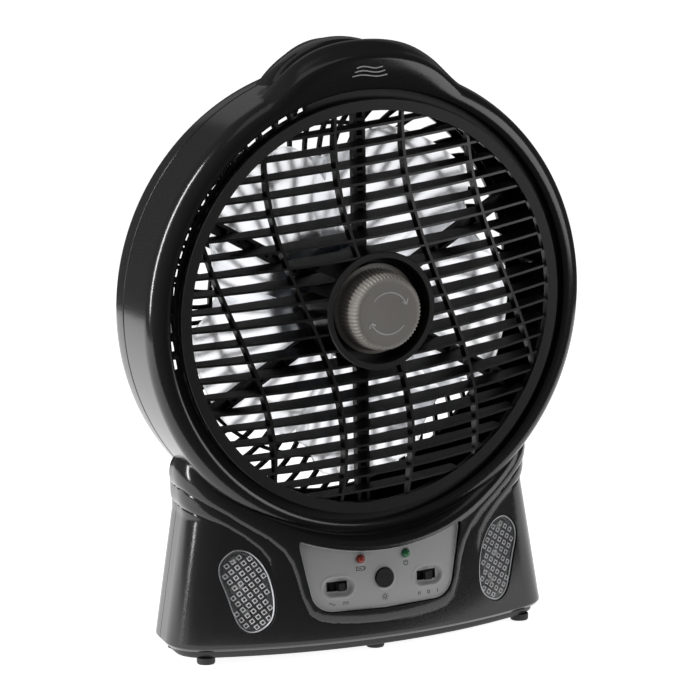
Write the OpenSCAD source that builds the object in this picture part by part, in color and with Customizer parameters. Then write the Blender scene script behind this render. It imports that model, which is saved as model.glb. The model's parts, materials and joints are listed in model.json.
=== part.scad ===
// Free-standing battery fan with a rotating louvre front, a carry handle and two lamps.
// +Z is up and -Y is the front. The origin is on the floor, under the middle of the fan.
// Depths are measured backwards from the front face of the louvre ring.

/* [Louvre] */
// Inner radius of the louvre ring
louvre_r = 124; // [118:1:126]
// Width of the louvre ring
ring_w = 7; // [5:0.5:7]
// Number of slats
slat_count = 22; // [16:2:24]
// Thickness of a slat
slat_t = 1.5; // [1.2:0.1:2]
// Number of curved upright ribs
rib_count = 5; // [3:2:7]
// Angle at which the louvre stands at rest
rest_turn = 4.4; // [0:0.2:8]

/* [Housing] */
// Widest radius of the round drum
drum_r = 150.2; // [148:0.2:152]
// Radius of the opening around the louvre ring
opening_r = 136.6; // [136:0.2:138]
// Height of the louvre axis above the floor
axis_z = 218.4; // [214:0.2:224]
// Wall thickness of the mouldings
wall = 2.4; // [2:0.1:3]
// Half width of the base, just above its lower lip
base_half = 128.4; // [124:0.2:132]
// Radius of the bowed front of the base, seen from above
bow_r = 275; // [240:5:320]
// Backward lean of the front of the base, in degrees
front_lean = 4.3; // [0:0.1:4.5]

/* [Fan] */
// Radius of the fan blades
blade_r = 112; // [100:1:116]
// Number of fan blades
blade_count = 5; // [3:1:7]
// Radius of the motor can
motor_r = 36; // [30:1:37]

/* [Controls] */
// Radius of the middle knob at its base
knob_r = 26; // [24:0.5:28]
// Number of grips around the knob
knob_grips = 60; // [36:6:72]
// Travel of a slide switch
slide_travel = 4; // [3:0.5:4]
// Radius of the lamp button
button_r = 6; // [5:0.5:6.5]

/* [Hidden] */
$fn = 96;

// Places, as depths behind the louvre ring
ring_y = -25;
seam_d = 50;
back_d = 72;
slat_back_d = 13.5;
ring_t = 4;
bracket_d = 16;
bracket_t = 5.5;
blade_d = 26;
blade_h = 15;
motor_d = 42.5;
motor_h = 20.5;
can_h = 19;
can_wall = 1.5;
shaft_r = 2;
bearing_r = 5.4;
bearing_w = 4;
bearing_inset = 0.9;
armature_r = 22;
armature_poles = 7;
mount_ring_r = 28;
grille_d = 67;

// Louvre
dome_rise = 13;
dome_sphere_r = (louvre_r * louvre_r + dome_rise * dome_rise) / (2 * dome_rise);
slat_pitch = 2 * (louvre_r - 9.9) / (slat_count - 1);
sag_mid = 3.9;
sag_slope = 3.3;
rib_pitch = 235 / rib_count;
rib_t = 1.9;
rib_depth = 7;
rib_sway = 18.5;
rib_quarter = 85;
rim_overlap = 1.5;
hub_r = 37.3;
hub_wall = 3.8;
hub_floor_d = 4;
hub_front_d = -12.3;
spindle_r = 4;
run_gap = 0.05;
bush_r = 6.5;
cap_r = 20.6;
knob_seat_d = -19.6;
knob_floor_d = -16.5;
knob_back_d = -2;
knob_face_d = -21.8;
knob_flange_r = 28.6;
knob_groove_r = 0.75;

// Housing
bow_front_d = -15;
skirt_step = 3;
bow_mid_d = bow_front_d + bow_r;
lip_z = 12;
tray_step = 3;
band_z = 19;
floor_z = 4;
side_ref_z = 16.4;
side_ref_d = 20;
side_lean = 9.5;
side_taper = 7.7;
seam_r = 147.6;
flange_back_d = 12.4;
grille_r = 134;
flange_r = 126.8;
slot_ring_r = 134.3;
inner_rib_count = 28;
outer_rib_count = 56;
grille_rib_w = 2.4;
grille_plate_r = 40;
grille_inner_ring_r = 79;
grille_outer_ring_r = 106;
shoulder_r = 10.5;
roll_d = 2;
roll_w = 6.9;
roll_deep = 13;
bezel_d = 1.5;
base_top_z = 121;
handle_mid_z = 97.4;
handle_r = 66.8;
handle_front_d = 41;
handle_wall = 5;
grip_half = 40;
crest_mid_z = 83;
crest_front_r = 76;
crest_back_r = 84;
crest_top_d = 12;
boss_angles = [60, 120, 3, 177];
boss_ring_r = 140.6;
boss_r = 3.6;
screw_r = 1.5;
screw_head_r = 3.2;
arm_count = 6;
arm_w = 8.4;
arm_rim = 2.2;
arm_web = 1.6;
arm_start_r = 30;
arm_pocket_pitch = 11;
bracket_hub_r = 36;
pad_ring_r = 139.5;

// Controls and lamps
panel_back = 1.2;
recess_half = 4.4;
recess_r = 6.2;
panel_t = 2.5;
panel_top_r = 152.4;
switch_x = 31.4;
switch_z = axis_z - 173.4;
button_z = axis_z - 170.6;
led_x = 15.8;
led_z = axis_z - 156.9;
led_r = 2.5;
lens_top = [92, axis_z - 157];
lens_top_r = 12.5;
lens_low = [84.5, axis_z - 186];
lens_low_r = 12;
lens_t = 2;
lamp_board_d = 22;
board_d = 3;
plate_d = bow_front_d + panel_back;
foot_x = 111;
foot_front_d = 17.5;
foot_mid_d = 3;
foot_back_d = 62;
foot_r = 5.8;
tray_screw_x = 104;
tray_screw_d = 40;
inlet_x = 92;
inlet_z = 34;
inlet_bore_r = 2.8;
cell_r = 9;
cell_len = 65;
cell_z = 26;
cell_rows = [26, 45];

// ---- Helpers ----

// Points along a round stretch of an outline
function arc(centre, r, from, to, steps) =
    [for (i = [0:steps]) let (a = from + (to - from) * i / steps) centre + r * [cos(a), sin(a)]];

// A flat outline drawn in (x, height above z) and thickened from depth d0 back to depth d1
module upright(d0, d1, z = 0)
    translate([0, ring_y + d1, z]) rotate([90, 0, 0]) linear_extrude(d1 - d0) children();

// A flat outline drawn in (x, depth) and thickened from height z0 up to z1
module level(z0, z1)
    translate([0, ring_y, z0]) linear_extrude(z1 - z0) children();

// A turned shape about the louvre axis, from an outline drawn in (radius, depth)
module turned()
    translate([0, ring_y, axis_z]) rotate([-90, 0, 0]) rotate_extrude() children();

// A plain disc or drum about the louvre axis
module disc(r, d0, d1)
    translate([0, ring_y + d0, axis_z]) rotate([-90, 0, 0]) cylinder(r = r, h = d1 - d0);

// A cylinder along the depth, at any x and height
module rod(x, z, r, d0, d1)
    translate([x, ring_y + d0, z]) rotate([-90, 0, 0]) cylinder(r = r, h = d1 - d0, $fn = 32);

module both_sides() {
    children();
    mirror([1, 0, 0]) children();
}

// A pan head screw whose shank points forward from its head
module screw(x, z, r, head_d, tip_d) {
    rod(x, z, r, tip_d, head_d);
    difference() {
        rod(x, z, r * 1.9, head_d, head_d + 1.6);
        translate([x - r * 1.2, ring_y + head_d + 0.9, z - 0.4]) cube([r * 2.4, 1, 0.8]);
        translate([x - 0.4, ring_y + head_d + 0.9, z - r * 1.2]) cube([0.8, 1, r * 2.4]);
    }
}

// ---- Louvre ----

// Height of slat k at a place x across the wheel
function slat_end_z(k) = (k - (slat_count - 1) / 2) * slat_pitch;
function slat_sag(z) = sag_mid - sag_slope * z / louvre_r;
function slat_z(k, x) = let (z = slat_end_z(k))
    z - slat_sag(z) * (1 - (x * x + z * z) / (louvre_r * louvre_r));
function slat_reach(k) = sqrt(pow(louvre_r + rim_overlap, 2) - pow(slat_end_z(k), 2));

module slat_outline(k) {
    reach = slat_reach(k);
    xs = [for (i = [-4:4]) reach * i / 4];
    polygon(concat(
        [for (x = xs) [x, slat_z(k, x) - slat_t / 2]],
        [for (i = [8:-1:0]) [xs[i], slat_z(k, xs[i]) + slat_t / 2]]
    ));
}

// Sideways sway of the upright ribs at a height above the axis
function rib_x(k, z) = (k - (rib_count - 1) / 2) * rib_pitch - rib_sway * sin(90 * z / rib_quarter);

module rib_outline(k) {
    zs = [for (i = [-9:9]) louvre_r * 1.02 * i / 9];
    polygon(concat(
        [for (z = zs) [rib_x(k, z) - rib_t / 2, z]],
        [for (i = [18:-1:0]) [rib_x(k, zs[i]) + rib_t / 2, zs[i]]]
    ));
}

// Domed space that the front edges of the slats lie on
module dome_space(sink = 0)
    translate([0, ring_y + 1.2 - dome_rise + sink + dome_sphere_r, axis_z])
        sphere(r = dome_sphere_r, $fn = 256);

module louvre_grille() color("#2a2626") {
    turned() difference() {
        translate([louvre_r, 0]) square([ring_w, ring_t]);
        polygon([[louvre_r + ring_w - 1, -1], [louvre_r + ring_w + 1, -1], [louvre_r + ring_w + 1, 1.5]]);
    }
    turned() difference() {
        union() {
            translate([hub_r - hub_wall, hub_front_d]) square([hub_wall, slat_back_d - hub_front_d]);
            translate([bush_r, hub_floor_d]) square([hub_r - bush_r - 1, 3]);
        }
        polygon([
            [hub_r - 1.2, hub_front_d - 0.7], [hub_r + 1, hub_front_d - 0.7], [hub_r + 1, hub_front_d + 1.8]
        ]);
    }
    intersection() {
        dome_space();
        upright(-13, slat_back_d, axis_z) rotate(rest_turn) intersection() {
            for (k = [0:slat_count - 1]) slat_outline(k);
            difference() {
                circle(louvre_r + 0.6);
                circle(hub_r - 1);
            }
        }
    }
    intersection() {
        dome_space();
        upright(-13, 5, axis_z) rotate(rest_turn) intersection() {
            for (k = [0:rib_count - 1]) rib_outline(k);
            difference() {
                circle(louvre_r + 0.6);
                circle(hub_r - 1);
            }
        }
        difference() {
            disc(louvre_r + 2, -14, 8);
            dome_space(rib_depth);
        }
    }
}

module louvre_bush() color("#e8e4d8")
    turned() {
        translate([spindle_r + run_gap, 1]) square([bush_r - spindle_r - run_gap, 11.8]);
        translate([spindle_r + run_gap, 7]) square([5.5, 1.4]);
    }

module louvre_spindle() color("silver")
    turned() {
        translate([0, -16]) square([spindle_r, bracket_d + bracket_t + 16]);
        translate([0, bracket_d - 3]) square([9, 3]);
    }

module louvre_knob() color("#a8a49c") difference() {
    turned() polygon([
        [spindle_r + run_gap, knob_floor_d], [knob_r - 6, knob_floor_d], [knob_r - 4.4, knob_back_d],
        [knob_flange_r, knob_back_d], [knob_flange_r, knob_back_d - 1.2], [knob_r, knob_back_d - 1.6],
        [knob_r - 2.6, knob_seat_d], [knob_r - 3.8, knob_face_d + 0.4], [cap_r + 0.1, knob_face_d],
        [cap_r + 0.1, knob_seat_d], [spindle_r + run_gap, knob_seat_d]
    ]);
    for (i = [0:knob_grips - 1])
        translate([0, ring_y, axis_z]) rotate([0, i * 360 / knob_grips, 0])
            translate([knob_r + 0.4, -1, 0]) rotate([90, 0, 8.4])
                cylinder(r = knob_groove_r, h = 20, $fn = 8);
}

module knob_cap() color("#8a8580")
    turned() polygon([
        [0, knob_seat_d], [cap_r, knob_seat_d], [cap_r, knob_face_d],
        [12, knob_face_d - 0.2], [0, knob_face_d + 0.4]
    ]);

// ---- Louvre bracket ----

module arm_outline() translate([arm_start_r, -arm_w / 2]) square([pad_ring_r + 3 - arm_start_r, arm_w]);

// Row of pockets along the front of an arm
module arm_pockets() for (i = [0:8])
    translate([arm_start_r + 10.5 + i * arm_pocket_pitch, arm_rim - arm_w / 2])
        square([arm_pocket_pitch - arm_rim, arm_w - 2 * arm_rim]);

module louvre_bracket() color("#242222") difference() {
    union() {
        turned() difference() {
            translate([spindle_r, bracket_d]) square([bracket_hub_r - spindle_r, bracket_t]);
            translate([12, bracket_d + 2.2]) square([20, bracket_t]);
        }
        for (i = [0:arm_count - 1])
            upright(bracket_d, bracket_d + bracket_t, axis_z) rotate(30 + i * 360 / arm_count)
                arm_outline();
        for (i = [0:arm_count - 1])
            upright(12.7, bracket_d + 1, axis_z) rotate(30 + i * 360 / arm_count)
                translate([pad_ring_r, 0]) circle(4.3, $fn = 48);
    }
    disc(spindle_r, bracket_d - 1, bracket_d + bracket_t + 1);
    for (i = [0:arm_count - 1]) {
        upright(10, 30, axis_z) rotate(30 + i * 360 / arm_count)
            translate([pad_ring_r, 0]) circle(screw_r, $fn = 32);
        upright(bracket_d - 1, bracket_d + bracket_t - arm_web, axis_z) rotate(30 + i * 360 / arm_count)
            arm_pockets();
    }
}

module bracket_screws() color("silver")
    for (i = [0:arm_count - 1]) {
        a = 30 + i * 360 / arm_count;
        screw(pad_ring_r * cos(a), axis_z + pad_ring_r * sin(a), screw_r, bracket_d + bracket_t, 10.5);
    }

// ---- Fan rotor and motor ----

module blade_outline() intersection() {
    difference() {
        circle(blade_r);
        circle(19);
    }
    difference() {
        translate([60, -34]) circle(74);
        translate([38, -78]) circle(84);
    }
}

module fan_blade() color("#d8dce0", 0.6) {
    turned() difference() {
        translate([2, blade_d]) square([19, blade_h - 1]);
        translate([8, blade_d + 3]) square([11, blade_h]);
    }
    for (i = [0:blade_count - 1])
        intersection() {
            upright(blade_d, blade_d + blade_h, axis_z) rotate(i * 360 / blade_count) blade_outline();
            translate([0, ring_y + blade_d + blade_h / 2, axis_z])
                rotate([0, -i * 360 / blade_count - 24, 0]) rotate([13, 0, 0])
                    translate([15, -1, -70]) cube([105, 2, 140]);
        }
}

module blade_nut() color("silver") difference() {
    translate([0, ring_y + blade_d - 2.6, axis_z]) rotate([-90, 0, 0])
        cylinder(r = 4.2, h = 2.6, $fn = 6);
    disc(shaft_r, blade_d - 3, blade_d + 1);
}

module motor_shaft() color("silver")
    disc(shaft_r, blade_d - 3, motor_d + motor_h + 1.5);

module motor_armature() color("#8c5a34") difference() {
    disc(armature_r, motor_d + 6, motor_d + 15.4);
    disc(shaft_r, motor_d, motor_d + motor_h);
    for (i = [0:armature_poles - 1])
        translate([0, ring_y + motor_d + 5, axis_z]) rotate([0, i * 360 / armature_poles, 0])
            translate([12, 0, -1.2]) cube([armature_r - 10, 12, 2.4]);
}

module commutator() color("#b87333")
    turned() translate([shaft_r, motor_d + 15.5]) square([5.5, 1.7]);

module motor_can() color("#3c4654") difference() {
    turned() difference() {
        union() {
            translate([3, motor_d]) square([motor_r - 3, can_h]);
            translate([3, motor_d - 0.7]) square([5, 2]);
        }
        translate([0, motor_d + 5]) square([motor_r - can_wall, motor_h]);
        translate([8, motor_d + can_wall]) square([motor_r - can_wall - 8, motor_h]);
        translate([0, motor_d + bearing_inset]) square([bearing_r, motor_h]);
    }
    for (i = [0:5])
        translate([0, ring_y + motor_d - 1, axis_z]) rotate([0, i * 60, 0])
            translate([20, 0, 0]) rotate([-90, 0, 0]) cylinder(r = 4, h = 4, $fn = 32);
}

module motor_end_bell() color("#2c3036") difference() {
    turned() {
        translate([bearing_r, motor_d + 17.4]) square([3, 5.1]);
        translate([2.4, motor_d + 21.5]) square([bearing_r - 2, 1]);
        translate([bearing_r, motor_d + can_h]) square([motor_r - bearing_r, 2]);
    }
    motor_screw_holes(motor_d, grille_d);
}

module motor_magnets() color("#45423f") difference() {
    turned() translate([armature_r + 2, motor_d + 4]) square([motor_r - can_wall - armature_r - 2.1, 13]);
    for (a = [45, 135])
        translate([0, ring_y + motor_d + 10, axis_z]) rotate([0, a, 0]) cube([14, 30, 90], center = true);
}

module bearing(d) turned() difference() {
    translate([shaft_r, d]) square([bearing_r - shaft_r, bearing_w]);
    translate([3.4, d - 0.1]) square([0.7, 0.6]);
}

module front_bearing() color("silver") bearing(motor_d + bearing_inset);
module rear_bearing() color("silver") bearing(motor_d + 17.4);

// Places of the four motor screws, as angles
module motor_screw_holes(d0, d1)
    for (i = [0:3])
        rod(mount_ring_r * cos(45 + 90 * i), axis_z + mount_ring_r * sin(45 + 90 * i), screw_r, d0, d1);

module motor_mount() color("#9a9a98") difference() {
    disc(motor_r + 1, motor_d + motor_h + 0.5, grille_d);
    disc(9, motor_d, grille_d + 1);
    motor_screw_holes(motor_d, grille_d + 1);
}

module motor_screws() color("silver")
    for (i = [0:3])
        screw(mount_ring_r * cos(45 + 90 * i), axis_z + mount_ring_r * sin(45 + 90 * i), screw_r,
            grille_d + 2.4, motor_d + 19.2);

// ---- Rear grille ----

// Curved rib between two radii; it follows a circle whose middle lies mid_r below the axis
module curved_rib(mid_r, bend_r, from_r, to_r) intersection() {
    translate([0, -mid_r]) difference() {
        circle(bend_r + grille_rib_w / 2, $fn = 180);
        circle(bend_r - grille_rib_w / 2, $fn = 180);
    }
    difference() {
        circle(to_r);
        circle(from_r);
    }
    translate([0, -grille_r]) square([grille_r, 2 * grille_r]);
}

module rib_ring(count) for (i = [0:count - 1])
    upright(grille_d + 0.3, grille_d + 3.2, axis_z) rotate(i * 360 / count) children();

module rear_grille() color("#232222") difference() {
    union() {
        turned() {
            translate([grille_r - 5, grille_d]) square([4.8, 3.5]);
            translate([0, grille_d]) square([grille_plate_r, 3.5]);
            for (r = [grille_inner_ring_r, grille_outer_ring_r])
                translate([r, grille_d + 0.3]) square([grille_rib_w, 2.9]);
        }
        rib_ring(inner_rib_count) curved_rib(95, 95, grille_plate_r - 2, grille_inner_ring_r + 1);
        rib_ring(outer_rib_count) curved_rib(100, 56, grille_inner_ring_r + 1, grille_r - 4);
    }
    motor_screw_holes(grille_d - 1, back_d + 1);
    for (i = [0:3])
        rod(mount_ring_r * cos(45 + 90 * i), axis_z + mount_ring_r * sin(45 + 90 * i), screw_head_r,
            grille_d + 2.3, back_d + 1);
}

// ---- Housing ----

// Everything inward of the leaning and tapering right side of the base
module side_space(inset)
    translate([base_half - inset, ring_y + side_ref_d, side_ref_z]) rotate([0, -side_lean, side_taper])
        translate([-400, -250, -250]) cube([400, 500, 500]);

// Tilts what belongs to the leaning front of the base about its lower front edge
module leaned()
    translate([0, ring_y + bow_front_d, lip_z]) rotate([-front_lean, 0, 0])
        translate([0, -ring_y - bow_front_d, -lip_z]) children();

// Space behind a bowed and leaning surface that lies step behind the front of the base
module behind_bow(step) leaned() level(-30, 220) translate([0, bow_mid_d]) circle(bow_r - step, $fn = 256);

// Solid space of the base; step moves its bowed front back
module base_space(step, inset, z0, z1) intersection() {
    level(z0, z1) translate([-140, -30]) square([280, 30 + back_d - inset]);
    behind_bow(step + inset);
    side_space(inset);
    mirror([1, 0, 0]) side_space(inset);
}

// Outline of the raised middle tongue of the base, between the two sweeping ridges
tongue_side = [
    [124, 125], [118.5, 116], [107.5, 109], [91, 95.5], [73.5, 83.5], [63, 72.5], [57.5, 58.5],
    [53, 44], [47, 32], [38, 27], [17, 25]
];

module tongue_outline() polygon(concat(
    tongue_side, [for (i = [len(tongue_side) - 1:-1:0]) [-tongue_side[i][0], tongue_side[i][1]]]
));

// Space in front of the rounded edge that the base turns towards the louvre opening
module front_roll() turned() polygon(concat(
    [[0, roll_d], [0, -40], [panel_top_r, -40]],
    [for (i = [0:6]) [panel_top_r - roll_w * sin(15 * i), roll_d - roll_deep * cos(15 * i)]]
));

// The two rounded bars that run back along each side under the drum
module side_bars() both_sides() {
    rod(110.6, 113.2, 8, 12, back_d - 3);
    rod(110.4, 97.4, 7.6, 11, back_d - 3);
    translate([110.6, ring_y + 12, 113.2]) sphere(r = 8, $fn = 48);
    translate([110.4, ring_y + 11, 97.4]) sphere(r = 7.6, $fn = 48);
}

// Outer shape of the base with its skirt, tongue and side bars
module base_outer() {
    base_space(skirt_step, 0, lip_z, base_top_z - 32);
    base_space(skirt_step + 4, 7, lip_z, base_top_z);
    base_space(0, 0, lip_z, band_z);
    intersection() {
        base_space(0, 0, lip_z, base_top_z);
        upright(-20, 30) tongue_outline();
    }
    side_bars();
}

module drum_profile(inset)
    polygon(concat(
        [[100, bezel_d + inset]],
        arc([drum_r - shoulder_r, shoulder_r + bezel_d], shoulder_r - inset, -90, 0, 8),
        [[seam_r - inset, seam_d], [seam_r - inset - 1, 62], [100, 62]]
    ));

module drum_back_profile(inset)
    polygon(concat(
        [[100, 10], [drum_r - inset, 10], [seam_r - inset, seam_d]],
        arc([seam_r - 11, back_d - 11], 10 - inset, 0, 90, 6),
        [[100, back_d - 1 - inset]]
    ));

// Raised front crest above the opening
module crest_space(inset) {
    translate([0, ring_y + inset, axis_z + crest_mid_z]) rotate([-90, 0, 0])
        cylinder(r1 = crest_front_r - inset, r2 = crest_back_r - inset, h = crest_top_d - inset);
    translate([0, ring_y + crest_top_d - 0.1, axis_z + crest_mid_z]) rotate([-90, 0, 0])
        cylinder(r1 = crest_back_r - inset, r2 = crest_back_r - 14 - inset, h = 13 - inset);
}

module upper_half()
    upright(-30, 100, axis_z) translate([-200, 60]) square([400, 200]);

// Everything that the round duct, the opening and the louvre ring need free
module duct_space() turned() polygon([
    [0, -40], [opening_r + 2.4, -40], [opening_r + 2.4, 1.5], [opening_r + 0.6, 2.4],
    [opening_r, 4.6], [opening_r, 9.8],
    [0, 9.8]
]);

module front_shell() color("#3d3d3f") difference() {
    union() {
        difference() {
            union() {
                turned() drum_profile(0);
                intersection() {
                    crest_space(0);
                    upper_half();
                }
                difference() {
                    base_outer();
                    front_roll();
                }
            }
            // hollow inside
            turned() intersection() {
                drum_profile(wall);
                translate([0, flange_back_d]) square([200, 100]);
            }
            intersection() {
                crest_space(wall);
                upper_half();
                upright(flange_back_d, 60, axis_z) translate([-200, 60]) square([400, 200]);
            }
            difference() {
                base_space(skirt_step + 1, 3.4, lip_z - 1, base_top_z - 34);
                disc(drum_r - 2, -40, 100);
            }
            crescent_groove();
            panel_pocket();
            both_sides() lens_pocket();
        }
        // bosses for the housing screws
        for (a = boss_angles) rod_at(a, boss_r, 12, seam_d);
    }
    duct_space();
    disc(flange_r, -30, 100);
    slots();
    upright(9, 9.9, axis_z) circle(opening_r);
    for (i = [0:arm_count - 1])
        upright(9.5, 13, axis_z) rotate(30 + i * 360 / arm_count)
            translate([pad_ring_r, 0]) circle(screw_r, $fn = 32);
    for (a = boss_angles) rod_at(a, screw_r, 30, 60);
    translate([-200, ring_y + seam_d, 0]) cube([400, 60, 400]);
}

module rod_at(a, r, d0, d1) rod(boss_ring_r * cos(a), axis_z + boss_ring_r * sin(a), r, d0, d1);

// Short slots between the louvre ring and the opening, up both sides of the opening
module slots()
    for (a = [-10:5:70], turn = [a, 180 - a])
        upright(9, 14, axis_z) rotate(turn) translate([slot_ring_r, 0]) square([3.4, 8.6], center = true);

module crescent_groove() intersection() {
    turned() translate([145, -3.5]) circle(1.6, $fn = 32);
    upright(-30, 30, axis_z) translate([-97, -200]) square([190, 90]);
}

module panel_outline(grow = 0) intersection() {
    translate([0, axis_z]) difference() {
        square(500, center = true);
        circle(panel_top_r - grow);
    }
    translate([0, axis_z]) polygon([
        [-57 - grow, -140], [-56 - grow, -149], [-48 - grow, -183], [-43, -188 - grow], [0, -189.5 - grow],
        [43, -188 - grow], [48 + grow, -183], [56 + grow, -149], [57 + grow, -140]
    ]);
    translate([-51 - grow, 0]) square([102 + 2 * grow, 200]);
}

module panel_pocket() {
    difference() {
        upright(-30, 20) panel_outline(0.4);
        behind_bow(panel_back + panel_t + 0.1);
    }
    upright(-30, 20) panel_outline(-2);
}

module control_panel() color("#989898") difference() {
    intersection() {
        upright(-30, 20) panel_outline();
        behind_bow(panel_back);
    }
    behind_bow(panel_back + panel_t);
    for (x = [-switch_x, switch_x])
        leaned() upright(-30, 20) translate([x, switch_z]) square([13, 5.6], center = true);
    for (x = [-switch_x, switch_x])
        leaned() upright(-30, plate_d + 2.8) switch_recess(x);
    leaned() rod(0, button_z, button_r + 0.3, -30, 20);
    for (x = [-led_x, led_x]) leaned() rod(x, led_z, led_r + 0.1, -30, 20);
}

// Oval dish around a slide switch
module switch_recess(x) translate([x, switch_z]) polygon(concat(
    arc([recess_half, 0], recess_r, -90, 90, 12), arc([-recess_half, 0], recess_r, 90, 270, 12)
));

module lens_outline(grow = 0) {
    lean = atan2(lens_low[0] - lens_top[0], lens_top[1] - lens_low[1]);
    polygon(concat(
        arc(lens_top, lens_top_r + grow, lean, lean + 180, 14),
        arc(lens_low, lens_low_r + grow, lean + 180, lean + 360, 14)
    ));
}

module lens_pocket() {
    difference() {
        upright(-30, 40) lens_outline(0.3);
        behind_bow(skirt_step + lens_t + 0.4);
    }
    upright(-30, 40) lens_outline(-2);
}

module light_lens_right() color("#d8dadc", 0.5) difference() {
    intersection() {
        upright(-30, 40) lens_outline();
        behind_bow(skirt_step + 0.3);
    }
    behind_bow(skirt_step + 0.3 + lens_t);
}

module light_lens_left() mirror([1, 0, 0]) light_lens_right();

module lamp_reflector_right() color("#e6e6e6") difference() {
    intersection() {
        upright(-30, lamp_board_d - 0.5) lens_outline(-2.3);
        behind_bow(skirt_step + 0.4 + lens_t);
    }
    intersection() {
        upright(-30, lamp_board_d - 1.7) lens_outline(-3.4);
        behind_bow(skirt_step);
    }
    for (p = lamp_led_places) rod(p[0], p[1], led_r + 0.1, 10, 40);
}

module lamp_reflector_left() mirror([1, 0, 0]) lamp_reflector_right();

lamp_led_places = [for (t = [0, 0.5, 1]) lens_top * (1 - t) + lens_low * t + [0, 4 - 6 * t]];

module lamp_leds_right() color("white")
    for (p = lamp_led_places) {
        rod(p[0], p[1], led_r, lamp_board_d - 6, lamp_board_d);
        translate([p[0], ring_y + lamp_board_d - 6, p[1]]) sphere(r = led_r, $fn = 32);
    }

module lamp_leds_left() mirror([1, 0, 0]) lamp_leds_right();

module lamp_board_right() color("#1d5a38") upright(lamp_board_d, lamp_board_d + 1.6) lens_outline(-2.3);

module lamp_board_left() mirror([1, 0, 0]) lamp_board_right();

// ---- Controls ----

module slider(x) color("#1a1a1a")
    leaned() translate([x, 0, switch_z]) {
        translate([-2.2, ring_y + plate_d + 0.4, -2.4]) cube([4.4, 6, 4.8]);
        translate([-5.8, ring_y + plate_d + 6.2, -2.4]) cube([11.6, 1.6, 4.8]);
    }

module switch_body(x) color("#5a5a5c") leaned() difference() {
    translate([x - 11, ring_y + plate_d + 7.6, switch_z - 4.5]) cube([22, board_d - plate_d - 7.6, 9]);
    translate([x - 10, ring_y + plate_d + 7, switch_z - 2.6]) cube([20, 1.9, 5.2]);
}

module speed_slider() slider(switch_x);
module source_slider() slider(-switch_x + slide_travel / 2);
module speed_switch_body() switch_body(switch_x);
module source_switch_body() switch_body(-switch_x);

module light_button() color("#1a1a1a") leaned() {
    rod(0, button_z, button_r, plate_d - 1.6, plate_d + 5);
    rod(0, button_z, button_r + 1.6, plate_d + 5, plate_d + 6.4);
}

module light_switch_body() color("#5a5a5c") leaned() {
    rod(0, button_z, 3, plate_d + 8.2, plate_d + 10.5);
    translate([-6, ring_y + plate_d + 10.5, button_z - 6]) cube([12, board_d - plate_d - 10.5, 12]);
}

module indicator(x) leaned() {
    rod(x, led_z, led_r, plate_d - 0.4, board_d);
    translate([x, ring_y + plate_d - 0.4, led_z]) sphere(r = led_r, $fn = 48);
}

module charge_led() color("#c03020") indicator(-led_x);
module power_led() color("#30a040") indicator(led_x);

module control_board() color("#1d5a38") leaned() upright(board_d, board_d + 1.6)
    translate([-46, switch_z - 12]) square([92, 26]);

// ---- Rear cover, handle, tray and feet ----

module rear_cover() color("#38383a") difference() {
    union() {
        difference() {
            union() {
                turned() drum_back_profile(0);
                base_rear_outer();
            }
            turned() drum_back_profile(wall);
            difference() {
                base_space(skirt_step + 1, 3.4, lip_z - 1, base_top_z - 34);
                disc(drum_r - 4, -40, 100);
            }
            difference() {
                base_space(skirt_step, 12, lip_z + 40, base_top_z - 1);
                disc(drum_r - 4, -40, 100);
            }
        }
        for (a = boss_angles) rod_at(a, boss_r, seam_d, back_d - 4);
        rod(inlet_x, inlet_z, 7.5, back_d - 6, back_d - 1);
    }
    disc(grille_r, 0, 100);
    disc(139.6, 0, 60);
    for (a = boss_angles) {
        rod_at(a, screw_r, 0, 100);
        rod_at(a, 3.1, back_d - 8, 100);
    }
    rod(inlet_x, inlet_z, 5.5, 0, 100);
    rod(inlet_x, inlet_z, 6.7, back_d - 1, 100);
    handle_socket();
    translate([-200, ring_y - 60, 0]) cube([400, 60 + seam_d, 400]);
}

module base_rear_outer() {
    base_space(skirt_step, 0, lip_z, base_top_z - 32);
    base_space(skirt_step + 4, 7, lip_z, base_top_z);
    side_bars();
}

module handle_socket() upright(seam_d - 12, back_d + 1, axis_z) intersection() {
    translate([0, handle_mid_z]) circle(handle_r + 0.2);
    difference() {
        circle(220);
        circle(drum_r - 6);
    }
}

module carry_handle() color("#3d3d3f") difference() {
    upright(handle_front_d, back_d, axis_z) intersection() {
        translate([0, handle_mid_z]) circle(handle_r);
        difference() {
            circle(220);
            circle(drum_r + 0.1);
        }
    }
    upright(handle_front_d + handle_wall, back_d + 1, axis_z) intersection() {
        translate([0, handle_mid_z]) circle(handle_r - 3);
        difference() {
            circle(220);
            circle(drum_r + 2);
        }
        translate([-grip_half, 0]) square([2 * grip_half, 200]);
    }
}

module bottom_tray() color("#2c2c2e") difference() {
    union() {
        intersection() {
            base_space(tray_step, 0, floor_z, lip_z);
            base_space(-9, 9, floor_z, lip_z);
        }
        base_space(skirt_step + 1.2, 3.6, lip_z, lip_z + 2);
    }
    translate([-100, ring_y + 8, floor_z + wall]) cube([200, 54, 20]);
    for (x = [-tray_screw_x, tray_screw_x]) {
        rod_up(x, tray_screw_d, screw_r, 0, 30);
        rod_up(x, tray_screw_d, screw_head_r, 0, floor_z + 1.8);
    }
}

module rod_up(x, d, r, z0, z1)
    translate([x, ring_y + d, z0]) cylinder(r = r, h = z1 - z0, $fn = 32);

module tray_screws() color("silver") for (x = [-tray_screw_x, tray_screw_x]) {
    rod_up(x, tray_screw_d, screw_r, floor_z + 1.8, 26);
    rod_up(x, tray_screw_d, screw_head_r - 0.3, floor_z + 0.4, floor_z + 1.8);
}

module foot(x, d) translate([x, ring_y + d, 0]) {
    cylinder(r1 = foot_r - 0.4, r2 = foot_r, h = 1, $fn = 48);
    translate([0, 0, 1]) cylinder(r = foot_r, h = floor_z - 1, $fn = 48);
}

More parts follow.
